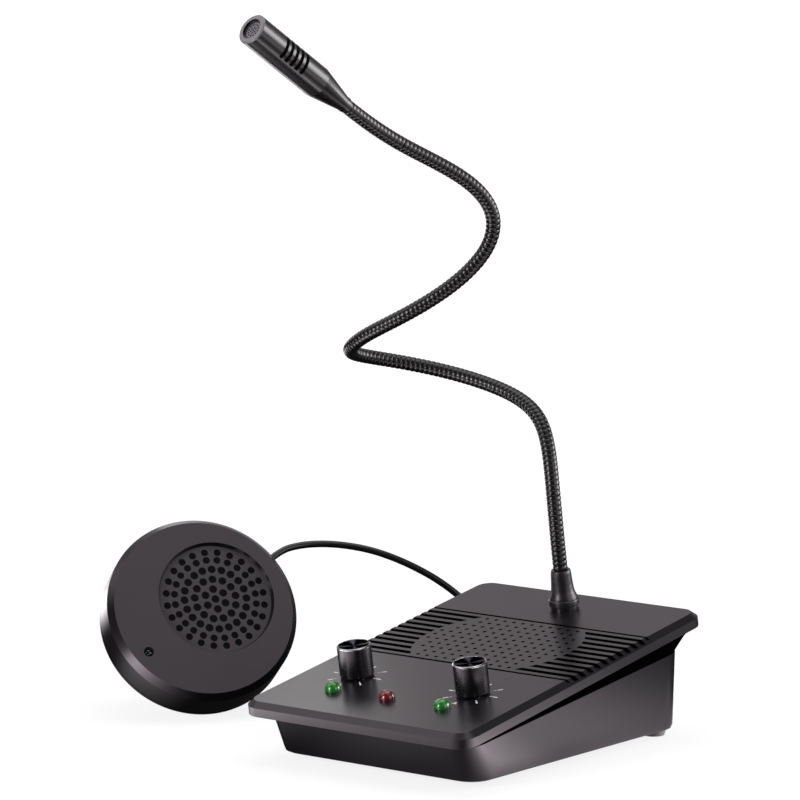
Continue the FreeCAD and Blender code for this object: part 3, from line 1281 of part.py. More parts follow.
def puck_gland():
    z = PUCK_DEPTH - GLAND_DEPTH
    inside = PUCK_R - PUCK_WALL - GLAND_FLANGE
    body = cylinder(GLAND_R, PUCK_R + GLAND_FLANGE / 2 - inside, V(inside, 0, z), X_AXIS)
    flange = cylinder(GLAND_FLANGE_R, GLAND_FLANGE - SEAT_GAP, V(inside, 0, z), X_AXIS)
    nose_from = PUCK_R + GLAND_FLANGE / 2
    nose = Part.makeCone(GLAND_R, GLAND_TIP_R, GLAND_OUT - GLAND_FLANGE / 2, V(nose_from, 0, z), X_AXIS)
    parts["puck_gland"] = placed(fuse_all([body, flange, nose]), PUCK)


# Cable

def bend_middle(start, corner, finish, radius):
    """The middle point of the arc that rounds a corner between two tangent points."""
    out = start - corner
    back = finish - corner
    out.normalize()
    back.normalize()
    half = out.getAngle(back) / 2
    middle = out + back
    middle.normalize()
    return corner + middle * (radius / math.sin(half) - radius)


def rounded_path(points, name):
    """Straight runs joined by arcs as large as the runs allow."""
    edges = []
    at = points[0]
    radii = []
    for before, corner, after in zip(points, points[1:], points[2:]):
        into = corner - before
        away = after - corner
        turn = into.getAngle(away)
        cut = CABLE_SHARE_OF_RUN * min(into.Length, away.Length)
        radius = cut / math.tan(turn / 2)
        into.normalize()
        away.normalize()
        start = corner - into * cut
        finish = corner + away * cut
        edges.append(Part.LineSegment(at, start).toShape())
        edges.append(Part.Arc(start, bend_middle(start, corner, finish, radius), finish).toShape())
        radii.append(round(radius, 1))
        at = finish
    edges.append(Part.LineSegment(at, points[-1]).toShape())
    wire = Part.Wire(edges)
    print(name, "length", round(wire.Length, 1), "radii", radii)
    return wire


def tube(wire, start, along, radius, name):
    profile = Part.Wire([Part.Circle(start, along, radius).toShape()])
    solid = wire.makePipeShell([profile], True, False)
    ideal = math.pi * radius ** 2 * wire.Length
    print(name, "volume", round(solid.Volume, 1), "section times length", round(ideal, 1))
    return solid


def biarc(start, start_way, finish, finish_way):
    """Two arcs that leave start along start_way and reach finish along finish_way."""
    span = finish - start
    total = start_way + finish_way
    spread = 2 * (1 - start_way.dot(finish_way))
    across = span.dot(total)
    reach = (math.sqrt(across ** 2 + spread * span.dot(span)) - across) / spread
    first = start + start_way * reach
    second = finish - finish_way * reach
    joint = (first + second) / 2
    edges = []
    for a, corner, b in ((start, first, joint), (joint, second, finish)):
        half = (a - corner).getAngle(b - corner) / 2
        radius = reach * math.tan(half)
        edges.append(Part.Arc(a, bend_middle(a, corner, b, radius), b).toShape())
    return edges


def coil_place(turns):
    """The coil's point after so many turns: in and out again, layer upon layer."""
    per_layer = COIL_TURNS_PER_LAYER
    layer = min(int(turns / per_layer), COIL_LAYERS - 1)
    within = turns - layer * per_layer
    inward = within if layer % 2 == 0 else per_layer - within
    radius = COIL_OUT_R - COIL_PITCH * inward
    climb = 0
    for step in range(1, COIL_LAYERS):
        past = (turns - step * per_layer) / COIL_CLIMB_SHARE
        climb += min(1, max(0, past + COIL_CLIMB_SHARE))
    height = CABLE_R + CABLE_REST + COIL_LAYER_RISE * climb
    angle = 2 * math.pi * turns - math.pi / 2
    return V(COIL_X + radius * math.cos(angle), COIL_Y + radius * math.sin(angle), height)


def coil_points():
    """The coil's points, with the direction there; it starts along +X and ends along -Y."""
    last = int(COIL_LAYERS * COIL_TURNS_PER_LAYER * COIL_STEPS_PER_TURN) - 1
    found = []
    for index in range(last + 1):
        turns = index / COIL_STEPS_PER_TURN
        way = coil_place(turns + COIL_LOOK_SHARE) - coil_place(turns - COIL_LOOK_SHARE)
        way.normalize()
        found.append((coil_place(turns), way))
    found[0] = (found[0][0], X_AXIS)
    found[-1] = (found[-1][0], -Y_AXIS)
    return found


def coil_wire():
    """The whole coil with a straight lead at each end, and where the leads end."""
    marks = coil_points()
    lead = 2 * CABLE_R
    first = marks[0][0]
    last = marks[-1][0]
    enter = first - X_AXIS * lead
    leave = last - Y_AXIS * lead
    edges = [Part.LineSegment(enter, first).toShape()]
    for (a, way_a), (b, way_b) in zip(marks, marks[1:]):
        edges += biarc(a, way_a, b, way_b)
    edges.append(Part.LineSegment(last, leave).toShape())
    return Part.Wire(edges), enter, leave


def coil_gap(wire):
    """The least gap between the coil's own turns, measured on points along it."""
    points = wire.discretize(Distance=CABLE_R)
    skip = int(math.pi * (COIL_OUT_R - COIL_PITCH * COIL_TURNS_PER_LAYER) / CABLE_R)
    least = FAR
    for index, point in enumerate(points):
        for other in points[index + skip:]:
            least = min(least, point.distanceToPoint(other))
    return least - 2 * CABLE_R


def plug_tail():
    """Where the cable meets the plug's strain relief."""
    return V(LINE_X, socket_mouth_y() + SEAT_GAP + PLUG_LENGTH + RELIEF_LENGTH, SOCKET_HEIGHT)


def outdoor_cable():
    coil, coil_in, coil_out = coil_wire()
    start = gland_end()
    points = [start, start + PUCK_TURN.multVec(X_AXIS) * GLAND_LEAD]
    points += [V(*p) for p in CABLE_POINTS]
    points += [coil_in - X_AXIS * CABLE_COIL_LEAD, coil_in]
    path = rounded_path(points, "cable")
    parts["outdoor_cable"] = tube(path, start, points[1] - start, CABLE_R, "cable")
    parts["outdoor_cable_coil"] = tube(coil, coil_in, X_AXIS, CABLE_R, "coil")
    print("coil length", round(coil.Length, 1), "least gap to itself", round(coil_gap(coil), 2))
    points = [coil_out] + [V(*p) for p in TAIL_POINTS] + [plug_tail()]
    path = rounded_path(points, "cable tail")
    parts["outdoor_cable_tail"] = tube(path, coil_out, points[1] - coil_out, CABLE_R, "cable tail")
    print("cable starts", start, "coil", coil_in, coil_out, "ends", plug_tail())


def outdoor_plug():
    low = SEAT_GAP
    high = low + PLUG_LENGTH
    body = spun([(0, low), (PLUG_R - PLUG_SHOULDER / 2, low), (PLUG_R, low + PLUG_SHOULDER),
                 (PLUG_R, high), (0, high)])
    grips = []
    for index in range(PLUG_GRIPS):
        z = low + 2 * PLUG_SHOULDER + 2 * PLUG_GRIP_WIDTH * index
        grips.append(ring(PLUG_R + OVERRUN, PLUG_R - PLUG_GRIP_DEPTH, PLUG_GRIP_WIDTH, V(0, 0, z)))
    relief = Part.makeCone(RELIEF_R, RELIEF_TIP_R, RELIEF_LENGTH, V(0, 0, high))
    tip = cylinder(PLUG_TIP_R, PLUG_TIP, V(0, 0, low - PLUG_TIP))
    place = Place(V(LINE_X, socket_mouth_y(), SOCKET_HEIGHT), Turn(X_AXIS, -QUARTER_TURN))
    parts["plug_body"] = placed(body.cut(grips), place)
    parts["plug_tip"] = placed(tip, place)
    parts["plug_relief"] = placed(relief, place)


def build():
    parts["top_cover"] = top_cover()
    parts["lower_housing"] = lower_housing()
    parts["rubber_feet"] = rubber_feet()
    parts["shell_screws"] = shell_screws()
    speaker_parts()
    volume_controls()
    lamps()
    control_board()
    main_board()
    parts["board_components"] = board_components()
    rear_sockets()
    parts["switch_frame"] = switch_frame()
    parts["switch_rocker"] = switch_rocker()
    neck_mounting()
    mic_head(gooseneck())
    parts["puck_shell"] = placed(puck_shell(), PUCK)
    parts["puck_back"] = placed(puck_back(), PUCK)
    parts["puck_screws"] = placed(puck_screws(), PUCK)
    puck_speaker()
    puck_mic()
    puck_bracket()
    puck_gland()
    outdoor_cable()
    outdoor_plug()


os.makedirs("parts", exist_ok=True)
build()
for name, shape in parts.items():
    shape.exportStep("parts/" + name + ".step")
    if not shape.isValid():
        print("not valid:", name)
print(len(parts), "nodes")
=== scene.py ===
import json
import math

import bmesh
import bpy
from mathutils import Matrix, Vector

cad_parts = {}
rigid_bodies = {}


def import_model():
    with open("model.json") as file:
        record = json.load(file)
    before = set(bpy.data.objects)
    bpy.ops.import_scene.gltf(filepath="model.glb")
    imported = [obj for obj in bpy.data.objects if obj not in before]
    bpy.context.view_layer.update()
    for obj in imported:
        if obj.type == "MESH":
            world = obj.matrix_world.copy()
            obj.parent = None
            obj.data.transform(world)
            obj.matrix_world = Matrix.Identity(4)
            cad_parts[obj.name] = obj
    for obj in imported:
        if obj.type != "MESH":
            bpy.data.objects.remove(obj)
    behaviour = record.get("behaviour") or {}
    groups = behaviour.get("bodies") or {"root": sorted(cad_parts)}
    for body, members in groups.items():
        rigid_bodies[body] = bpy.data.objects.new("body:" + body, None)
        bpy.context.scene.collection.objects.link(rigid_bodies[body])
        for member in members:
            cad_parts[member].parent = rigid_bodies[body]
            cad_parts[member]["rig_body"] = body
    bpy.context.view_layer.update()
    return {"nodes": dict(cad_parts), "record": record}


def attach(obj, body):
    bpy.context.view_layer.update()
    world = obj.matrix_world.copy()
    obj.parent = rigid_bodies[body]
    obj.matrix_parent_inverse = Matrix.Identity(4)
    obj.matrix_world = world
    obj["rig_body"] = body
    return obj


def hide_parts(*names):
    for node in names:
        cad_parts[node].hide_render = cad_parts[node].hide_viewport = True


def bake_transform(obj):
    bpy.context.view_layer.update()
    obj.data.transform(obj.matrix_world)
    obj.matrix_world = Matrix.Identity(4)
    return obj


# The looks of a teller window intercom: a sloped desk unit with a gooseneck
# microphone, and a round outdoor unit on a thin cable. Metres, +Z up.

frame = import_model()

MM = 0.001
FULL = 2 * math.pi
SLOPE = math.atan2(56.6 - 26.0, 184.0)
PLATE = Matrix.Translation((0, -92 * MM, 26 * MM)) @ Matrix.Rotation(SLOPE, 4, "X")

# On the plate, in millimetres: x from its middle, s up the slope from its front, n out of it
PLATE_TOP = 2.45
KNOBS = {"left_knob": -34.8, "right_knob": 33.2}
KNOB_S = 48.6
LAMPS = {"left_lamp": -32.7, "power_lamp": -0.7, "right_lamp": 31.3}
LAMP_S = 28.1
BAND_FRONT = 78.2
BAND_REAR = 143.8
BAND_HALF = 62.0
GROOVE_FLOOR = 0.9
BOOT = (-1.0, 165.0)
BOOT_R = 7.3
BOOT_H = 19.0
CABLE_R = 1.7 * MM


# Camera, at the photograph's angle

PHOTO_PX = 800
FOCAL_PX = 4750
SENSOR_MM = 36


def camera():
    """The photograph's view, from a long lens in front of the desk unit's right corner."""
    back = Vector((0.6214, -0.7708, 0.1400)).normalized()
    right = Vector((0.7789, 0.6271, -0.0048))
    right = (right - back * right.dot(back)).normalized()
    up = back.cross(right)
    turn = Matrix((right, up, back)).transposed().to_4x4()
    eye = bpy.data.objects.new("camera", bpy.data.cameras.new("camera"))
    eye.data.sensor_width = SENSOR_MM
    eye.data.lens = FOCAL_PX / PHOTO_PX * SENSOR_MM
    eye.data.clip_start = 0.05
    eye.data.clip_end = 60
    eye.matrix_world = Matrix.Translation((1.3383, -1.7152, 0.4712)) @ turn
    bpy.context.scene.collection.objects.link(eye)
    bpy.context.scene.camera = eye


camera()


# Small helpers

def paint(hex_code):
    """A colour written as sRGB hex, turned to linear."""
    parts = [int(hex_code[i:i + 2], 16) / 255 for i in (1, 3, 5)]
    return tuple(c / 12.92 if c <= 0.04045 else ((c + 0.055) / 1.055) ** 2.4 for c in parts) + (1,)


def add(tree, kind, settings=None, feeds=None):
    """One node, with its settings, and the values or links that go into its sockets."""
    node = tree.nodes.new(kind)
    for key, value in (settings or {}).items():
        setattr(node, key, value)
    for key, value in (feeds or {}).items():
        socket = node.inputs[key]
        if isinstance(value, bpy.types.NodeSocket):
            tree.links.new(value, socket)
        else:
            socket.default_value = value
    return node


def finish(name, colour, roughness, grain, relief, metallic=0.0, mottle=0.12, sheen_spread=0.12,
           place=None, pattern="noise", **shader):
    """A surface: its colour and roughness wander a little, and its texture is grain millimetres
    wide and relief millimetres deep. pattern "rings" gives turned lines round place's Z axis."""
    material = bpy.data.materials.new(name)
    material.use_nodes = True
    tree = material.node_tree
    tree.nodes.clear()
    where = add(tree, "ShaderNodeTexCoord").outputs["Object"]
    if place is not None:
        undone = place.inverted()
        where = add(tree, "ShaderNodeMapping", {"vector_type": "POINT"},
                    {"Vector": where, "Location": undone.translation,
                     "Rotation": undone.to_euler()}).outputs["Vector"]
    if pattern == "rings":
        texture = add(tree, "ShaderNodeTexWave", {"wave_type": "RINGS", "rings_direction": "Z"},
                      {"Vector": where, "Scale": 0.05 / (grain * MM), "Distortion": 0.4,
                       "Detail": 1.0}).outputs["Fac"]
    else:
        texture = add(tree, "ShaderNodeTexNoise", {},
                      {"Vector": where, "Scale": 1 / (grain * MM), "Detail": 2.0}).outputs["Fac"]
    cloud = add(tree, "ShaderNodeTexNoise", {},
                {"Vector": where, "Scale": 70.0, "Detail": 3.0}).outputs["Fac"]
    both = add(tree, "ShaderNodeMix", {"data_type": "FLOAT"},
               {0: 0.5, 2: texture, 3: cloud}).outputs[0]
    base = paint(colour)
    dark = tuple(c * (1 - mottle) for c in base[:3]) + (1,)
    light = tuple(min(1, c * (1 + mottle)) for c in base[:3]) + (1,)
    shade = add(tree, "ShaderNodeMix", {"data_type": "RGBA"},
                {0: both, 6: dark, 7: light}).outputs[2]
    rough = add(tree, "ShaderNodeMapRange", {},
                {"Value": both, "To Min": roughness * (1 - sheen_spread),
                 "To Max": min(1, roughness * (1 + sheen_spread))}).outputs["Result"]
    feeds = {"Base Color": shade, "Roughness": rough, "Metallic": metallic}
    if relief:
        feeds["Normal"] = add(tree, "ShaderNodeBump", {},
                              {"Height": texture, "Strength": 1.0,
                               "Distance": relief * MM}).outputs["Normal"]
    feeds.update(shader)
    surface = add(tree, "ShaderNodeBsdfPrincipled", {}, feeds)
    add(tree, "ShaderNodeOutputMaterial", {}, {"Surface": surface.outputs["BSDF"]})
    return material


def spun_top_painted_glints(name, place):
    """Black anodised aluminium, turned, with its fine rings as relief; four bright sectors across
    it are painted highlight, the glints that turned metal shows.
    """
    material = finish(name, "#141416", 0.30, 0.30, 0.004, metallic=1.0, place=place,
                      pattern="rings", **{"Specular Tint": (0.2, 0.2, 0.2, 1.0)})
    tree = material.node_tree
    surface = next(n for n in tree.nodes if n.type == "BSDF_PRINCIPLED")
    local = next(n for n in tree.nodes if n.type == "MAPPING").outputs["Vector"]
    axes = add(tree, "ShaderNodeSeparateXYZ", {}, {"Vector": local}).outputs
    value = add(tree, "ShaderNodeMath", {"operation": "ARCTAN2"}, {0: axes["Y"], 1: axes["X"]})
    for operation, factor in (("MULTIPLY", 2.0), ("SINE", 0.0), ("ABSOLUTE", 0.0), ("POWER", 7.0)):
        value = add(tree, "ShaderNodeMath", {"operation": operation},
                    {0: value.outputs[0], 1: factor})
    plain = surface.inputs["Base Color"].links[0].from_socket
    # painted highlight: four bright sectors mixed into the cap's colour by angle
    painted_glints = add(tree, "ShaderNodeMix", {"data_type": "RGBA"},
               {0: value.outputs[0], 6: plain, 7: paint("#75757a")})
    tree.links.new(painted_glints.outputs[2], surface.inputs["Base Color"])
    return material


def new_piece(name, mesh, material, body=None, nodes=()):
    """A finished mesh as an object of its own that rides on a body and may stand for nodes."""
    made = bpy.data.objects.new(name, mesh)
    bpy.context.scene.collection.objects.link(made)
    mesh.materials.clear()
    mesh.materials.append(material)
    if body:
        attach(made, body)
    if nodes:
        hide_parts(*nodes)
    return made


def rounded(profile, radius, steps=4):
    """The same profile with each inner corner turned into a small arc."""
    points = [Vector(p) for p in profile]
    result = [points[0]]
    for before, corner, after in zip(points, points[1:], points[2:]):
        a = before - corner
        b = after - corner
        reach = min(radius, a.length * 0.45, b.length * 0.45)
        a = corner + a.normalized() * reach
        b = corner + b.normalized() * reach
        for step in range(steps + 1):
            t = step / steps
            result.append(a * (1 - t) ** 2 + corner * 2 * t * (1 - t) + b * t ** 2)
    result.append(points[-1])
    return result


def lathe(name, profile, place, turns=72, sharp=38):
    """A closed round body. The profile is (radius, height) in millimetres, from the axis out,
    round, and back to the axis, or a closed ring where it starts and ends at one point."""
    ring_shape = (Vector(profile[0]) - Vector(profile[-1])).length < 1e-9
    points = profile[:-1] if ring_shape else profile
    shell = bmesh.new()
    rows = []
    for radius, height in points:
        if radius < 1e-6:
            rows.append([shell.verts.new((0, 0, height * MM))])
            continue
        rows.append([shell.verts.new((radius * MM * math.cos(FULL * i / turns),
                                      radius * MM * math.sin(FULL * i / turns), height * MM))
                     for i in range(turns)])
    pairs = list(zip(rows, rows[1:]))
    if ring_shape:
        pairs.append((rows[-1], rows[0]))
    for low, high in pairs:
        for i in range(turns):
            j = (i + 1) % turns
            corners = [low[i % len(low)], low[j % len(low)],
                       high[j % len(high)], high[i % len(high)]]
            kept = []
            for corner in corners:
                if corner not in kept:
                    kept.append(corner)
            if len(kept) > 2:
                shell.faces.new(kept)
    bmesh.ops.recalc_face_normals(shell, faces=shell.faces)
    mesh = bpy.data.meshes.new(name)
    shell.to_mesh(mesh)
    shell.free()
    mesh.transform(place)
    mesh.shade_smooth()
    mesh.set_sharp_from_angle(angle=math.radians(sharp))
    return mesh


def prism(name, outlines, thick, place):
    """Flat closed outlines in millimetres, each given a thickness."""
    shell = bmesh.new()
    for outline in outlines:
        low = [shell.verts.new((x * MM, y * MM, 0)) for x, y in outline]
        high = [shell.verts.new((x * MM, y * MM, thick * MM)) for x, y in outline]
        shell.faces.new(low[::-1])
        shell.faces.new(high)
        for i in range(len(low)):
            j = (i + 1) % len(low)
            shell.faces.new((low[i], low[j], high[j], high[i]))
    bmesh.ops.recalc_face_normals(shell, faces=shell.faces)
    mesh = bpy.data.meshes.new(name)
    shell.to_mesh(mesh)
    shell.free()
    mesh.transform(place)
    return mesh


def smoothed(node, material, angle=32):
    """A merged copy of a solid's skin with its curved faces shaded round, standing for the node."""
    source = frame["nodes"][node]
    shell = bmesh.new()
    shell.from_mesh(source.data)
    bmesh.ops.remove_doubles(shell, verts=shell.verts, dist=2e-6)
    bmesh.ops.dissolve_degenerate(shell, edges=shell.edges, dist=1e-7)
    mesh = bpy.data.meshes.new(node + "_skin")
    shell.to_mesh(mesh)
    shell.free()
    for left_over in ("custom_normal", "sharp_edge"):
        if left_over in mesh.attributes:
            mesh.attributes.remove(mesh.attributes[left_over])
    mesh.shade_smooth()
    mesh.set_sharp_from_angle(angle=math.radians(angle))
    return new_piece(node + "_skin", mesh, material, source["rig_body"], (node,))


def refaced(piece, material, chosen):
    """A second finish for the chosen faces of a piece."""
    piece.data.materials.append(material)
    for face in piece.data.polygons:
        if chosen(face):
            face.material_index = 1


def on_plate(x, s, n=0.0):
    """A place on the sloped plate, with +Z out of the plate."""
    return PLATE @ Matrix.Translation((x * MM, s * MM, n * MM))


def shaped(name, carrier, tree, values):
    """The mesh that a shape tree makes from a carrier object, with the tree's inputs set."""
    bpy.context.scene.collection.objects.link(carrier)
    work = carrier.modifiers.new("shape", "NODES")
    work.node_group = tree
    for item in tree.interface.items_tree:
        if item.item_type == "SOCKET" and item.in_out == "INPUT" and item.name in values:
            work[item.identifier] = values[item.name]
    view = bpy.context.evaluated_depsgraph_get()
    mesh = bpy.data.meshes.new_from_object(carrier.evaluated_get(view), depsgraph=view)
    carrier.modifiers.remove(work)
    bpy.data.objects.remove(carrier)
    mesh.name = name
    return mesh


def shape_tree(name, inputs):
    """An empty shape tree with its named inputs, and the sockets of its two ends."""
    tree = bpy.data.node_groups.new(name, "GeometryNodeTree")
    tree.interface.new_socket("Geometry", in_out="INPUT", socket_type="NodeSocketGeometry")
    for label, kind, value in inputs:
        socket = tree.interface.new_socket(label, in_out="INPUT", socket_type="NodeSocket" + kind)
        if value is not None:
            socket.default_value = value
    tree.interface.new_socket("Geometry", in_out="OUTPUT", socket_type="NodeSocketGeometry")
    return tree, add(tree, "NodeGroupInput").outputs


def close_tree(tree, geometry, material):
    """The tree's end: real geometry, in its material."""
    real = add(tree, "GeometryNodeRealizeInstances", {}, {"Geometry": geometry})
    dressed = add(tree, "GeometryNodeSetMaterial", {},
                  {"Geometry": real.outputs["Geometry"], "Material": material})
    add(tree, "NodeGroupOutput", {}, {"Geometry": dressed.outputs["Geometry"]})


# Finishes

# the maker's black has a trace of red in its gloss
WARM = {"Specular Tint": (1.0, 0.93, 0.99, 1.0)}

# moulded ABS with a fine spark texture: broad, blurred reflections on a near black skin
cover_abs = finish("moulded_ABS_satin_black", "#111012", 0.29, 0.30, 0.0008, **WARM)
# the same ABS on the housing under the lip, a little duller
housing_abs = finish("moulded_ABS_dull_black", "#151416", 0.25, 0.30, 0.0006, **WARM)
# the outdoor unit's ABS on its flat face, painted a lighter grey than its rim: painted light, where
# the flat face takes the light
puck_face_painted_light = finish("moulded_ABS_black_painted_light", "#363437", 0.30, 0.30, 0.0008, **WARM)
# the same shell's rim, its bevel and the walls of its holes, polished in the mould: black where
# they see nothing pale, bright where they do
puck_rim_abs = finish("moulded_ABS_gloss_black", "#0b0a0c", 0.24, 0.30, 0.0, **WARM)
# polished ABS: sharp vertical highlights on the knobs' sides
knob_abs = finish("polished_ABS_black", "#0c0c0d", 0.27, 0.5, 0.0, mottle=0.05, **WARM)
# the lacquered dome of the outdoor unit's own microphone: a small sharp glint
gloss_black = finish("lacquered_cap_black", "#060606", 0.10, 0.5, 0.0, mottle=0.03)
# turned aluminium, bright cut: a white glint all round the knob's edge
bright_cut = finish("bright_cut_aluminium", "#a8a7ab", 0.22, 0.25, 0.002, metallic=1.0, mottle=0.04)
# dyed polycarbonate lenses: deep colour under a clear glossy skin
green_lens = finish("dyed_polycarbonate_green", "#156f1c", 0.20, 0.6, 0.0, mottle=0.08,
                    **{"Coat Weight": 0.4, "Coat Roughness": 0.14, "IOR": 1.58})
red_lens = finish("dyed_polycarbonate_red", "#650f16", 0.20, 0.6, 0.0, mottle=0.08,
                  **{"Coat Weight": 0.4, "Coat Roughness": 0.14, "IOR": 1.58})
# steel strip wound into a tube and painted black: a grey glint on each rib
neck_paint = finish("painted_steel_strip_black", "#121112", 0.26, 0.4, 0.0)
# satin paint on the microphone's turned tube
mic_paint = finish("satin_paint_on_aluminium_black", "#111012", 0.27, 0.25, 0.0, mottle=0.05,
                   sheen_spread=0.03)
# rubber boot: soft wide highlight, no glint
boot_rubber = finish("moulded_EPDM_rubber_black", "#1c1b1d", 0.34, 0.35, 0.0, mottle=0.1, **WARM)
# nitrile of the cable's gland, the plug's relief and the neck's foot: nearly no gloss
soft_rubber = finish("moulded_nitrile_rubber_black", "#101011", 0.6, 0.4, 0.003, mottle=0.2)
# translucent silicone feet, which look pale grey
foot_rubber = finish("moulded_silicone_rubber_grey", "#a9a8a6", 0.6, 0.4, 0.003, mottle=0.05)
# grey trim ring round the microphone's front
trim_grey = finish("painted_zinc_alloy_grey", "#777578", 0.38, 0.3, 0.001, mottle=0.06)
# etched steel disc behind the ring, grey between its small holes
mesh_steel = finish("etched_steel_grille", "#77767a", 0.35, 0.2, 0.002, metallic=0.8)
# pressed felt behind the microphone's vents: a matt black ground
dull_felt = finish("pressed_felt_black", "#0b0b0b", 0.9, 0.25, 0.03, mottle=0.3)
# acoustic fabric behind the sound holes, near black and without gloss: partly its own colour,
# partly painted shade that keeps the holes black
cloth_and_painted_shade = finish("acoustic_cloth_black_and_painted_shade", "#040404", 1.0, 0.2, 0.02, **{"Specular IOR Level": 0.12})
# painted shade where the cover turns under its lip and on the walls and floors of its grooves: near
# black, no gloss, with a coarser texture
painted_shade_black = finish("moulded_ABS_black_painted_shade", "#060506", 0.9, 0.3, 0.006,
                   **{"Specular IOR Level": 0.0})
# extruded PVC sheath of the cord: smooth, with one thin line of gloss along it
pvc = finish("extruded_PVC_sheath_black", "#0f0f10", 0.26, 0.5, 0.0, mottle=0.1)
# bright metals: zinc plate on screws and frames, nickel on the plug, turned brass, a drawn can
zinc = finish("zinc_plated_steel", "#b9bbbf", 0.30, 0.3, 0.003, metallic=1.0, mottle=0.08)
nickel = finish("nickel_plated_brass", "#c9c4b8", 0.22, 0.3, 0.001, metallic=1.0, mottle=0.05)
brass = finish("turned_brass", "#c9a35a", 0.26, 0.25, 0.002, metallic=1.0, mottle=0.06)
can_metal = finish("drawn_aluminium_can", "#c4c6c9", 0.30, 0.3, 0.002, metallic=1.0, mottle=0.05)
# inside the units: sintered ferrite, pressed paper cone, a board's solder mask, moulded epoxy
ferrite = finish("sintered_ferrite", "#2a2a2c", 0.7, 0.6, 0.02, mottle=0.2)
paper = finish("pressed_paper_cone_black", "#171615", 0.85, 0.5, 0.03, mottle=0.25)
solder_mask = finish("glass_epoxy_board_green", "#0f4a23", 0.35, 1.2, 0.004, mottle=0.18)
epoxy = finish("moulded_epoxy_black", "#1a1a1b", 0.55, 0.25, 0.003)
# pad printed ink: flat and pale on the satin plate
white_ink = finish("pad_printed_ink_white", "#e6e5e8", 0.55, 0.3, 0.0, mottle=0.05)
# powder coat on the bracket, with its fine orange peel
bracket_paint = finish("powder_coated_steel_black", "#151516", 0.48, 0.5, 0.01)

# the finish of a solid that no finer piece stands for, by its slot, or by its own name
SLOT_FINISHES = {
    "black_shell": epoxy, "black_knob": knob_abs, "bright_ring": bright_cut,
    "black_metal": neck_paint, "grey_ring": trim_grey, "green_lens": green_lens,
    "red_lens": red_lens, "rubber_black": soft_rubber, "rubber_grey": foot_rubber,
    "steel": zinc, "speaker_paper": paper, "magnet": ferrite, "board_green": solder_mask,
    "cable_black": pvc, "brass": brass, "aluminium_can": can_metal,
}
NODE_FINISHES = {
    "puck_bracket": bracket_paint, "mic_mesh": mesh_steel, "mic_liner": dull_felt,
    "plug_tip": nickel, "neck_collar": neck_paint, "plug_relief": soft_rubber,
    "mic_capsule": dull_felt, "line_socket": epoxy, "power_socket": epoxy,
}


def dress_solids():
    """Every carried-over node gets the finish of its slot, or one of its own."""
    slots = {part["node"]: part["material_slot"] for part in frame["record"]["subparts"]}
    for name, solid in frame["nodes"].items():
        solid.data.materials.clear()
        solid.data.materials.append(NODE_FINISHES.get(name) or SLOT_FINISHES[slots[name]])


dress_solids()


# The outdoor unit's cable, coil and tail: one cord on the solids' route

CABLE_GLAND = (-149.906, 29.993, 69.023)
CABLE_ARCH = (
    (-148.4206, 35.9367, 72.4089), (-145.1, 43.8, 73.9), (-139.4, 52.2, 74.4),
    (-130.9, 61.9, 73.4), (-119.5, 72.5, 70.2), (-106.9, 83.7, 63.4), (-94.6, 94.9, 53.8),
    (-83.6, 104.4, 41.3), (-73.5, 111.2, 27.2), (-66.0, 115.0, 16.6), (-56.5, 119.2, 8.2),
    (-46.5, 122.0, 3.0), (-38.2, 123.0, 1.75))
CABLE_TO_PLUG = ((-51.4, 136.6, 14.0), (-48.7, 129.1, 14.9), (-44.0, 122.5, 16.1),
                 (-41.7, 115.1, 17.0), (-41.7, 108.585, 17.0))
COIL_MIDDLE = (-28.0, 148.0)
COIL_R = 25.425
COIL_LAYERS = 4
COIL_TURNS = 2.5


def cable_route():
    """The cord's points, in metres, from the gland to the plug."""
    points = [CABLE_GLAND, *CABLE_ARCH, *coil_points(), *CABLE_TO_PLUG]
    return [Vector(point) * MM for point in points]


def coil_points():
    """The spare cord on the desk: layers wound in and out in turn. It climbs to the next layer
    within half a turn."""
    steps = 12
    apart = 4.1697
    lowest = 1.75
    rise = 3.9
    climbing = 0.25
    points = []
    for step in range(int((COIL_LAYERS * COIL_TURNS - climbing) * steps) + 1):
        turned = step / steps
        layer = min(int(turned / COIL_TURNS), COIL_LAYERS - 1)
        into = turned - layer * COIL_TURNS
        inward = into if layer % 2 == 0 else COIL_TURNS - into
        level = float(layer)
        nearest = round(turned / COIL_TURNS)
        past = turned - nearest * COIL_TURNS
        if 0 < nearest < COIL_LAYERS and abs(past) < climbing:
            level = nearest - 0.5 + past / (2 * climbing)
        radius = COIL_R - apart * inward
        angle = FULL * turned - math.pi / 2
        points.append((COIL_MIDDLE[0] + radius * math.cos(angle),
                       COIL_MIDDLE[1] + radius * math.sin(angle), lowest + rise * level))
    return points


def outdoor_cord():
    """One round cord from the outdoor unit's gland, through the coil, to the plug."""
    route = cable_route()
    data = bpy.data.curves.new("outdoor_cord", "CURVE")
    data.dimensions = "3D"
    line = data.splines.new("NURBS")
    line.points.add(len(route) - 1)
    for point, at in zip(line.points, route):
        point.co = (*at, 1)
    line.order_u = 3
    line.use_endpoint_u = True
    data.resolution_u = 8
    data.bevel_depth = CABLE_R
    data.bevel_resolution = 5
    data.use_fill_caps = True
    cord = bpy.data.objects.new("outdoor_cord", data)
    bpy.context.scene.collection.objects.link(cord)
    data.materials.append(pvc)
    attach(cord, "base")
    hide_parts("outdoor_cable", "outdoor_cable_coil", "outdoor_cable_tail")


outdoor_cord()


# Gooseneck: the wound tube in five stretches, each a finer form of its solid

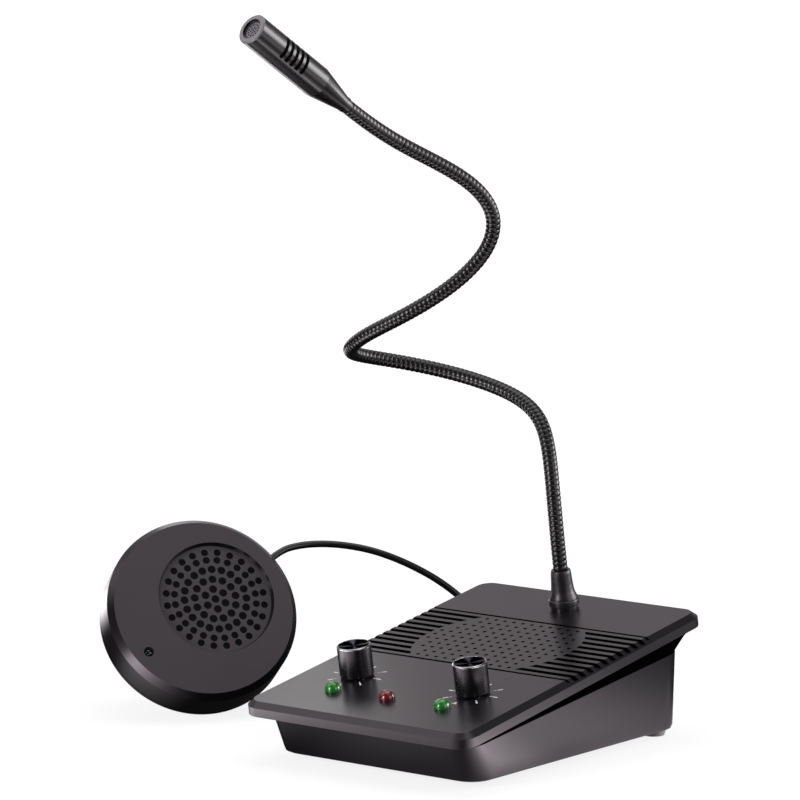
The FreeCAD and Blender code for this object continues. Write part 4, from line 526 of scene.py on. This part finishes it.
NECK_START = on_plate(*BOOT, PLATE_TOP + BOOT_H).translation
NECK_UP = Vector((0, -math.sin(SLOPE), math.cos(SLOPE)))
NECK_STRAIGHT = 34.5 * MM
NECK_REACH = 226.1 * MM
NECK_SHARES = (
    (-0.024, -0.003, 0.263), (-0.085, 0.031, 0.332), (-0.187, 0.039, 0.367),
    (-0.304, 0.011, 0.395), (-0.399, -0.052, 0.417), (-0.442, -0.131, 0.434),
    (-0.420, -0.197, 0.453), (-0.351, -0.223, 0.493), (-0.256, -0.201, 0.539),
    (-0.167, -0.149, 0.602), (-0.106, -0.105, 0.677), (-0.085, -0.104, 0.754),
    (-0.103, -0.159, 0.823), (-0.144, -0.255, 0.879), (-0.185, -0.362, 0.933),
    (-0.199, -0.462, 1.000),
)
NECK_CREST_R = 3.5 * MM
NECK_VALLEY_R = 3.12 * MM
NECK_SIDES = 28
NECK_PLAIN = 0.002
STEPS_PER_RIB = 10
RIBS = {"neck_root": 15, "neck_lower": 12, "neck_waist": 17, "neck_main": 108, "neck_tip": 15}


def neck_curve():
    """The neck's middle line: straight out of the boot, then by poles in shares of its reach."""
    data = bpy.data.curves.new("neck_line", "CURVE")
    data.dimensions = "3D"
    line = data.splines.new("NURBS")
    poles = [NECK_START, NECK_START + NECK_UP * NECK_STRAIGHT]
    poles += [NECK_START + Vector(share) * NECK_REACH for share in NECK_SHARES]
    line.points.add(len(poles) - 1)
    for point, at in zip(line.points, poles):
        point.co = (*at, 1)
    line.order_u = 4
    line.use_endpoint_u = True
    data.resolution_u = 32
    return bpy.data.objects.new("neck_line", data)


def ribbed_tube_tree():
    """A stretch of a line turned into a tube with a round rib on each pitch."""
    tree, given = shape_tree("ribbed_tube", (
        ("Start", "Float", 0.0), ("End", "Float", 0.1), ("Pitch", "Float", 0.0024),
        ("Crest Radius", "Float", 0.0035), ("Valley Radius", "Float", 0.00315),
        ("Steps", "Int", 80), ("Sides", "Int", 28), ("Material", "Material", None)))
    cut = add(tree, "GeometryNodeTrimCurve", {"mode": "LENGTH"}, {"Curve": given["Geometry"]})
    tree.links.new(given["Start"], cut.inputs[4])
    tree.links.new(given["End"], cut.inputs[5])
    line = add(tree, "GeometryNodeResampleCurve", {}, {"Curve": cut.outputs["Curve"],
                                                       "Count": given["Steps"]})
    along = add(tree, "GeometryNodeSplineParameter").outputs["Length"]
    phase = add(tree, "ShaderNodeMath", {"operation": "DIVIDE"}, {0: along, 1: given["Pitch"]})
    half_turns = add(tree, "ShaderNodeMath", {"operation": "MULTIPLY"},
                     {0: phase.outputs[0], 1: math.pi})
    wave = add(tree, "ShaderNodeMath", {"operation": "SINE"}, {0: half_turns.outputs[0]})
    bump = add(tree, "ShaderNodeMath", {"operation": "ABSOLUTE"}, {0: wave.outputs[0]})
    round_top = add(tree, "ShaderNodeMath", {"operation": "POWER"}, {0: bump.outputs[0], 1: 0.3})
    radius = add(tree, "ShaderNodeMapRange", {}, {"Value": round_top.outputs[0],
                                                  "To Min": given["Valley Radius"],
                                                  "To Max": given["Crest Radius"]})
    rim = add(tree, "GeometryNodeCurvePrimitiveCircle", {}, {"Resolution": given["Sides"],
                                                             "Radius": 1.0})
    tube = add(tree, "GeometryNodeCurveToMesh", {}, {"Curve": line.outputs["Curve"],
                                                     "Profile Curve": rim.outputs["Curve"],
                                                     "Scale": radius.outputs["Result"],
                                                     "Fill Caps": True})
    soft = add(tree, "GeometryNodeSetShadeSmooth", {}, {"Geometry": tube.outputs["Mesh"]})
    close_tree(tree, soft.outputs["Geometry"], given["Material"])
    return tree


def along_neck():
    """Points every millimetre or so along the neck's line, read from its curve."""
    carrier = neck_curve()
    bpy.context.scene.collection.objects.link(carrier)
    view = bpy.context.evaluated_depsgraph_get()
    mesh = bpy.data.meshes.new_from_object(carrier.evaluated_get(view), depsgraph=view)
    points = [v.co.copy() for v in mesh.vertices]
    bpy.data.objects.remove(carrier)
    return points


def point_at(points, length):
    """The point that lies length metres along a list of points."""
    for a, b in zip(points, points[1:]):
        step = (b - a).length
        if length <= step:
            return a.lerp(b, length / step)
        length -= step
    return points[-1]


def gooseneck():
    """The neck's stretches. One on a single body rides on it; one between two bodies rides on none,
    its place baked into its mesh.
    """
    bend_inset = 0.06
    line = along_neck()
    whole = sum((b - a).length for a, b in zip(line, line[1:]))
    pitch = (whole - NECK_PLAIN) / sum(RIBS.values())
    riders = {"neck_root": ("base", "neck_lower"), "neck_lower": ("neck_lower",),
              "neck_waist": ("neck_lower", "neck_main"), "neck_main": ("neck_main",),
              "neck_tip": ("neck_main", "microphone")}
    tree = ribbed_tube_tree()
    start = 0.0
    for name, ribs in RIBS.items():
        end = start + ribs * pitch
        last = end + (NECK_PLAIN if name == "neck_tip" else 0.0)
        mesh = shaped(name + "_tube", neck_curve(), tree, {
            "Start": start, "End": last, "Pitch": pitch, "Steps": ribs * STEPS_PER_RIB + 1,
            "Crest Radius": NECK_CREST_R, "Valley Radius": NECK_VALLEY_R, "Sides": NECK_SIDES,
            "Material": neck_paint})
        bodies = riders[name]
        tube = new_piece(name + "_tube", mesh, neck_paint, bodies[0] if len(bodies) == 1 else None,
                         (name,))
        if len(bodies) == 2:
            inset = bend_inset * (end - start)
            point_at(line, start + inset)
            point_at(line, end - inset)
            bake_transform(tube)
        start = end


gooseneck()


def neck_boot():
    """The rubber boot: a straight skirt, a small ledge, a bell and a long sleeve."""
    at = on_plate(*BOOT, PLATE_TOP)
    bore = 3.22
    foot_r = 6.6
    foot_h = 1.5
    shares = ((0.985, 0.085), (1.0, 0.11), (1.0, 0.21), (0.985, 0.235), (0.93, 0.25),
              (0.915, 0.30), (0.865, 0.35), (0.81, 0.40), (0.775, 0.45), (0.755, 0.50),
              (0.72, 0.62), (0.695, 0.76), (0.665, 0.93), (0.63, 1.0))
    profile = [(bore, BOOT_H), (bore, foot_h), (foot_r, foot_h)]
    profile += [(BOOT_R * r, BOOT_H * h) for r, h in shares]
    profile.append(profile[0])
    new_piece("neck_boot_sleeve", lathe("neck_boot_sleeve", rounded(profile, 0.25), at, 96),
              boot_rubber, "base", ("neck_boot",))
    ring_bore = 3.7
    flange = rounded([(ring_bore, 0.0), (foot_r, 0.0), (foot_r, foot_h), (ring_bore, foot_h),
                      (ring_bore, 0.0)], 0.2)
    flange[-1] = flange[0]
    new_piece("neck_collar_ring", lathe("neck_collar_ring", flange, at, 96), soft_rubber, "base")


neck_boot()


# Desk unit's shells: the solids' own forms, with their round faces shaded round

def out_of_light(face):
    """The cover's under lip, and the walls and floors of its grooves and sound holes: painted
    shade.
    """
    x, s, n = (PLATE.inverted() @ face.center) / MM
    plate_up = PLATE.col[2].to_3d()
    in_band = abs(x) < BAND_HALF and BAND_FRONT < s < BAND_REAR
    sunk = n < GROOVE_FLOOR or face.normal.dot(plate_up) < 0.5
    return face.normal.z < -0.25 or (in_band and sunk)


# the under lip and the grooves go near black without gloss: painted shade
refaced(smoothed("top_cover", cover_abs), painted_shade_black, out_of_light)
smoothed("lower_housing", housing_abs)
smoothed("rubber_feet", foot_rubber)


# Knobs: a polished body, a bright cut edge and a dished, spun cap

KNOB_TURNS = 112


def knob(name, x):
    """One knob round its own axis, with the white line of its pointer let into its side."""
    at = on_plate(x, KNOB_S, PLATE_TOP)
    body = rounded([(0, 11.6), (3.0, 11.6), (3.0, 1.0), (4.0, 0.6), (7.6, 0.6), (8.0, 1.0),
                    (8.0, 14.72), (7.3, 14.75), (7.0, 14.6), (0, 14.6)], 0.2)
    new_piece(name + "_body", lathe(name + "_body", body, at, KNOB_TURNS), knob_abs, name,
              (name,))
    edge = [(7.5, 14.6), (8.0, 14.72), (8.0, 15.0), (7.56, 15.46), (7.46, 15.5), (7.36, 15.46),
            (7.3, 15.2), (7.3, 14.6), (7.5, 14.6)]
    new_piece(name + "_bright_edge", lathe(name + "_bright_edge", edge, at, KNOB_TURNS, 30),
              bright_cut, name)
    dish = [(0, 14.0), (7.3, 14.0), (7.3, 15.34)]
    dish += [(7.2 * out, 15.3 - 0.4 * (1 - out ** 2))
             for out in (1 - step / 9 for step in range(10))]
    # the cap's turned finish, with its painted highlight sectors
    rings = spun_top_painted_glints(name + "_spun_aluminium_painted_glints", on_plate(x, KNOB_S))
    new_piece(name + "_dished_cap", lathe(name + "_dished_cap", dish, at, KNOB_TURNS), rings, name,
              (name + "_cap",))
    mark = [(-0.45, 0.0), (0.45, 0.0), (0.45, 7.6), (-0.45, 7.6)]
    stand = at @ Matrix.Translation((0, 7.92 * MM, 1.0 * MM)) @ Matrix.Rotation(math.pi / 2, 4, "X")
    stand = stand @ Matrix.Rotation(math.pi, 4, "Y")
    new_piece(name + "_pointer", prism(name + "_pointer", [mark], 0.14, stand), white_ink, name)


for knob_name, knob_x in KNOBS.items():
    knob(knob_name, knob_x)


# Dial marks printed round each knob

def dial_tree():
    """A short bar at each eighth of a circle, but for the place of the pointed mark."""
    tree, given = shape_tree("dial_marks", (
        ("Radius", "Float", 0.0125), ("Bar Length", "Float", 0.003), ("Bar Width", "Float", 0.0007),
        ("Thickness", "Float", 0.00003), ("Count", "Int", 8), ("Left Out", "Int", 6),
        ("Material", "Material", None)))
    rim = add(tree, "GeometryNodeCurvePrimitiveCircle", {}, {"Resolution": given["Count"],
                                                             "Radius": given["Radius"]})
    index = add(tree, "GeometryNodeInputIndex").outputs[0]
    kept = add(tree, "FunctionNodeCompare", {"data_type": "INT", "operation": "NOT_EQUAL"})
    tree.links.new(index, kept.inputs[2])
    tree.links.new(given["Left Out"], kept.inputs[3])
    place = add(tree, "GeometryNodeInputPosition").outputs[0]
    turn = add(tree, "FunctionNodeAlignRotationToVector", {"axis": "X"}, {"Vector": place})
    size = add(tree, "ShaderNodeCombineXYZ", {}, {"X": given["Bar Length"], "Y": given["Bar Width"],
                                                  "Z": given["Thickness"]})
    bar = add(tree, "GeometryNodeMeshCube", {}, {"Size": size.outputs[0]})
    bars = add(tree, "GeometryNodeInstanceOnPoints", {},
               {"Points": rim.outputs["Curve"], "Selection": kept.outputs[0],
                "Instance": bar.outputs["Mesh"], "Rotation": turn.outputs[0]})
    close_tree(tree, bars.outputs["Instances"], given["Material"])
    return tree


def dials():
    """Long marks outside, short marks inside them, and a pointed mark where the scale starts."""
    ink = 0.04
    tree = dial_tree()
    for name, x in KNOBS.items():
        at = on_plate(x, KNOB_S, PLATE_TOP + 0.03)
        prints = []
        for radius, length, width in ((12.6, 2.6, 0.75), (10.2, 1.2, 0.5)):
            carrier = bpy.data.objects.new("dial", bpy.data.meshes.new("dial"))
            prints.append(shaped(name + "_dial", carrier, tree, {
                "Radius": radius * MM, "Bar Length": length * MM, "Bar Width": width * MM,
                "Thickness": ink * MM, "Count": 8, "Left Out": 6, "Material": white_ink}))
        both = bmesh.new()
        for mesh in prints:
            both.from_mesh(mesh)
        joined = bpy.data.meshes.new(name + "_dial")
        both.to_mesh(joined)
        both.free()
        joined.transform(at)
        new_piece(name + "_dial", joined, white_ink, "base")
        pointed = [(-1.5, -14.6), (1.5, -14.6), (0.0, -11.8)]
        new_piece(name + "_start_mark", prism(name + "_start_mark", [pointed], ink, at), white_ink,
                  "base")


dials()


# Indicator lamps: domed lenses that stand in round holes of the plate

def dome(radius, foot, height, steps):
    """The upper part of a profile, from just above a dome's foot to its top on the axis."""
    angles = [math.pi / 2 * step / steps for step in range(1, steps)]
    return [(radius * math.cos(a), foot + height * math.sin(a)) for a in angles] + [
        (0, foot + height)]


def lamps():
    """A green lens on each side and the red one for power, each with its rim under the plate."""
    lens = [(0, -3.4), (4.3, -3.4), (4.3, -2.5), (3.5, -2.5), (3.5, 0.02), (3.72, 0.1), (3.75, 0.8)]
    lens += dome(3.75, 0.8, 3.5, 16)
    for name, x in LAMPS.items():
        dye, slot = (red_lens, "red_lens") if name == "power_lamp" else (green_lens, "green_lens")
        new_piece(name + "_lens", lathe(name + "_lens", lens, on_plate(x, LAMP_S, PLATE_TOP), 64),
                  dye, "base", (name,))


lamps()


# Microphone head and outdoor unit: the solids' own forms, shaded round

# the microphone's own place: +Z runs from its tail to its front
MIC = Matrix(((0.8119478, 0.5721834, -0.1155290, -0.0459939),
              (-0.3990878, 0.3997023, -0.8252072, -0.0372154),
              (-0.4259927, 0.7161314, 0.5528888, 0.3003274),
              (0, 0, 0, 1)))
MIC_TAIL = [(2.2, 0), (3.8, 0), (3.8, 2.0), (7.5, 21.0), (6.3, 21.0), (6.3, 25.0), (2.2, 25.0),
            (2.2, 0)]
new_piece("mic_tail_skin", lathe("mic_tail_skin", MIC_TAIL, MIC, 112, 20), mic_paint, "microphone",
          ("mic_tail",))
smoothed("mic_barrel", mic_paint)
smoothed("mic_liner", dull_felt)
refaced(smoothed("mic_ring", mic_paint), trim_grey,
        lambda face: face.normal.dot(MIC.col[2].to_3d()) > 0.3)

for puck_node, puck_finish, puck_slot in (("puck_back", puck_rim_abs, "black_shell"),
                                          ("puck_bracket", bracket_paint, "black_metal"),
                                          ("puck_gland", soft_rubber, "rubber_black")):
    smoothed(puck_node, puck_finish)

# the outdoor unit's own place: +Z runs from its back to its face, +X from its small hole to the
# middle of its sound holes
LEAN = math.radians(31.4)
PUCK_R = 46.9
PUCK_DEPTH = 22.6
PUCK_FACE_Z = PUCK_DEPTH * math.sin(LEAN) + PUCK_R * math.cos(LEAN)
PUCK_TURN = (Matrix.Rotation(math.radians(56.3), 4, "Z")
             @ Matrix.Rotation(math.pi / 2 - LEAN, 4, "X")
             @ Matrix.Rotation(math.radians(34.5), 4, "Z"))
PUCK = (Matrix.Translation(Vector((-150.7, -19.7, PUCK_FACE_Z)) * MM) @ PUCK_TURN
        @ Matrix.Translation((0, 0, -PUCK_DEPTH * MM)))


# rings of sound holes: how many, on which radius, and the solid's and the photograph's hole radius
GRILLE = ((1, 0.0, 1.7, 1.95), (6, 5.19, 1.7, 1.95), (13, 10.29, 1.7, 1.95),
          (20, 15.46, 1.7, 1.95), (24, 20.29, 1.45, 1.75), (24, 24.29, 1.45, 1.75))
HOLES_X = 8.6
HOLES = [(Vector((HOLES_X + ring * math.cos(FULL * k / count), ring * math.sin(FULL * k / count))),
          solid_r, seen_r) for count, ring, solid_r, seen_r in GRILLE for k in range(count)]


def widened(piece):
    """The sound holes of the copy, opened to the width they have in the photograph."""
    slack = 0.06
    to_puck = PUCK.inverted()
    for vertex in piece.data.vertices:
        place = (to_puck @ vertex.co) / MM
        for middle, solid_r, seen_r in HOLES:
            off = place.to_2d() - middle
            if abs(off.length - solid_r) < slack:
                place.xy = middle + off * (seen_r / solid_r)
                vertex.co = PUCK @ (place * MM)
    return piece


def puck_grille_cloth():
    """A black acoustic sheet in each sound hole just under the recess floor: partly its own colour,
    partly painted shade that keeps the holes black.
    """
    sides = 28
    round_shape = [Vector((math.cos(FULL * s / sides), math.sin(FULL * s / sides)))
                   for s in range(sides)]
    outlines = [[middle + way * (seen_r - 0.02) for way in round_shape]
                for middle, _, seen_r in HOLES]
    place = PUCK @ Matrix.Translation((0, 0, 19.6 * MM))
    new_piece("puck_grille_cloth", prism("puck_grille_cloth", outlines, 0.42, place), cloth_and_painted_shade, "base")


def puck_mic_ball():
    """The small microphone's domed black cap in its hole."""
    profile = [(0, 18.7), (2.1, 18.7), (2.1, 20.6)] + dome(2.1, 20.6, 1.7, 12)
    place = PUCK @ Matrix.Translation((-36.8 * MM, 0, 0))
    new_piece("puck_mic_ball", lathe("puck_mic_ball", profile, place, 48), gloss_black, "base",
              ("puck_mic",))


puck_grille_cloth()
puck_mic_ball()
# the flat face takes the lighter grey, which is painted light; the rim, bevel and hole walls keep
# the black
refaced(widened(smoothed("puck_shell", puck_rim_abs)), puck_face_painted_light,
        lambda face: face.normal.dot(PUCK.col[2].to_3d()) > 0.97)


# Floor, world and lamps

# the trace of red in what gloss sees, which takes the green out of black plastic
PALE_TONE = (1.0, 0.93, 0.97, 1.0)

# Where gloss sees the floor paler: the middle of each patch, how far it reaches, how bright it is
FLOOR_PATCHES = (
    ((0.125, -0.05, 0), 0.08, 6.5),
    ((0.15, 0.03, 0), 0.18, 2.0),
    ((-0.12, -0.20, 0), 0.14, 7.0),
    ((0.00, -0.18, 0), 0.12, 2.6),
    ((-0.18, -0.15, 0), 0.12, 6.0),
    ((-0.58, 0.15, 0), 0.29, 5.0),
    ((0.85, 0.25, 0), 0.62, 2.8),
)


def floor():
    """A wide floor. It adds white of its own to what the camera sees of it, so that it is white
    where it is lit and keeps the object's soft shadow. Gloss sees it dark, with pale patches."""
    reach = 30.0
    albedo = 0.202
    albedo_for_gloss = 0.007
    mesh = bpy.data.meshes.new("floor")
    mesh.from_pydata([(-reach, -reach, 0), (reach, -reach, 0), (reach, reach, 0),
                      (-reach, reach, 0)], [], [(0, 1, 2, 3)])
    ground = bpy.data.objects.new("floor", mesh)
    bpy.context.scene.collection.objects.link(ground)
    material = bpy.data.materials.new("matt_white_floor")
    material.use_nodes = True
    tree = material.node_tree
    tree.nodes.clear()
    path = add(tree, "ShaderNodeLightPath").outputs
    glossy = path["Is Glossy Ray"]
    where = add(tree, "ShaderNodeTexCoord").outputs["Object"]
    sheen = 0.02
    for middle, reach_out, strength in FLOOR_PATCHES:
        off = add(tree, "ShaderNodeVectorMath", {"operation": "DISTANCE"},
                  {0: where, 1: middle}).outputs["Value"]
        patch = add(tree, "ShaderNodeMapRange", {"interpolation_type": "SMOOTHSTEP"},
                    {"Value": off, "From Min": reach_out, "From Max": 0.0,
                     "To Max": strength}).outputs["Result"]
        sheen = add(tree, "ShaderNodeMath", {"operation": "ADD"}, {0: patch, 1: sheen}).outputs[0]
    away = add(tree, "ShaderNodeVectorMath", {"operation": "LENGTH"}, {0: where}).outputs["Value"]
    white = add(tree, "ShaderNodeMapRange", {"interpolation_type": "SMOOTHSTEP"},
                {"Value": away, "From Min": 0.35, "From Max": 1.2, "To Min": 0.84,
                 "To Max": 1.0}).outputs["Result"]
    seen = add(tree, "ShaderNodeMath", {"operation": "MAXIMUM"},
               {0: path["Is Camera Ray"], 1: path["Is Transmission Ray"]}).outputs[0]
    straight = add(tree, "ShaderNodeMath", {"operation": "MULTIPLY"},
                   {0: white, 1: seen}).outputs[0]
    mirrored = add(tree, "ShaderNodeMath", {"operation": "MULTIPLY"},
                   {0: sheen, 1: glossy}).outputs[0]
    level = add(tree, "ShaderNodeMath", {"operation": "MAXIMUM"},
                {0: straight, 1: mirrored}).outputs[0]
    grey = add(tree, "ShaderNodeMath", {"operation": "MULTIPLY_ADD"},
               {0: glossy, 1: albedo_for_gloss - albedo, 2: albedo}).outputs[0]
    lit = add(tree, "ShaderNodeBsdfDiffuse", {}, {"Color": grey})
    tone = add(tree, "ShaderNodeMix", {"data_type": "RGBA"},
               {0: glossy, 6: (1, 1, 1, 1), 7: PALE_TONE}).outputs[2]
    glow = add(tree, "ShaderNodeEmission", {}, {"Color": tone, "Strength": level})
    total = add(tree, "ShaderNodeAddShader", {}, {0: lit.outputs[0], 1: glow.outputs[0]})
    add(tree, "ShaderNodeOutputMaterial", {}, {"Surface": total.outputs[0]})
    mesh.materials.append(material)


# What gloss sees of the room besides its dim walls: the way to each pale panel, the cosine at which
# its soft edge ends, and how bright it is in the middle
ROOM_PANELS = (
    ((-0.60, 0.66, 0.45), 0.70, 0.49),
    ((-0.92, 0.38, -0.05), 0.88, 2.6),
    ((-0.60, -0.31, 0.74), 0.86, 1.5),
    ((0.68, -0.09, 0.73), 0.86, 0.5),
    ((0.62, 0.77, 0.08), 0.78, 1.6),
    ((0.98, 0.05, 0.14), 0.88, 2.6),
)


def studio():
    """White surroundings for the camera, and a dim room with pale panels for gloss."""
    world = bpy.data.worlds.new("studio")
    bpy.context.scene.world = world
    world.use_nodes = True
    tree = world.node_tree
    tree.nodes.clear()
    path = add(tree, "ShaderNodeLightPath").outputs
    facing = add(tree, "ShaderNodeTexCoord").outputs["Generated"]
    plain_fill = 0.45
    room = 0.07
    for way, edge, strength in ROOM_PANELS:
        near = add(tree, "ShaderNodeVectorMath", {"operation": "DOT_PRODUCT"},
                   {0: facing, 1: Vector(way).normalized()}).outputs["Value"]
        panel = add(tree, "ShaderNodeMapRange", {"interpolation_type": "SMOOTHSTEP"},
                    {"Value": near, "From Min": edge, "From Max": 1.0,
                     "To Max": strength}).outputs["Result"]
        room = add(tree, "ShaderNodeMath", {"operation": "ADD"}, {0: room, 1: panel}).outputs[0]
    gloss = add(tree, "ShaderNodeMath", {"operation": "MAXIMUM"},
                {0: path["Is Glossy Ray"], 1: path["Is Transmission Ray"]}).outputs[0]
    fill = add(tree, "ShaderNodeMix", {"data_type": "FLOAT"},
               {0: gloss, 2: plain_fill, 3: room}).outputs[0]
    level = add(tree, "ShaderNodeMix", {"data_type": "FLOAT"},
                {0: path["Is Camera Ray"], 2: fill, 3: 1.0}).outputs[0]
    tone = add(tree, "ShaderNodeMix", {"data_type": "RGBA"},
               {0: path["Is Camera Ray"], 6: PALE_TONE, 7: (1, 1, 1, 1)}).outputs[2]
    sky = add(tree, "ShaderNodeBackground", {}, {"Color": tone, "Strength": level})
    add(tree, "ShaderNodeOutputWorld", {}, {"Surface": sky.outputs[0]})


def softbox(name, at, aim, width, height, power):
    """A square soft lamp at a place, turned to its aim."""
    data = bpy.data.lights.new(name, "AREA")
    data.shape = "RECTANGLE"
    data.size = width
    data.size_y = height
    data.energy = power
    lamp = bpy.data.objects.new(name, data)
    lamp.location = at
    lamp.rotation_mode = "QUATERNION"
    lamp.rotation_quaternion = (Vector(aim) - Vector(at)).to_track_quat("-Z", "Y")
    lamp.visible_camera = False
    bpy.context.scene.collection.objects.link(lamp)


floor()
studio()
softbox("left_softbox", (-0.36, -1.45, 0.38), (-0.05, 0, 0.08), 0.45, 0.75, 14)
softbox("right_softbox", (1.05, 1.10, 0.38), (0, 0, 0.05), 0.75, 0.75, 16)
softbox("top_softbox", (-0.1, 0.2, 1.7), (0, 0, 0.1), 1.3, 1.3, 11)
softbox("plate_softbox", (-0.40, 0.24, 0.30), (-0.06, -0.08, 0.03), 0.14, 0.16, 0.10)

scene = bpy.context.scene
scene.view_settings.view_transform = "Standard"
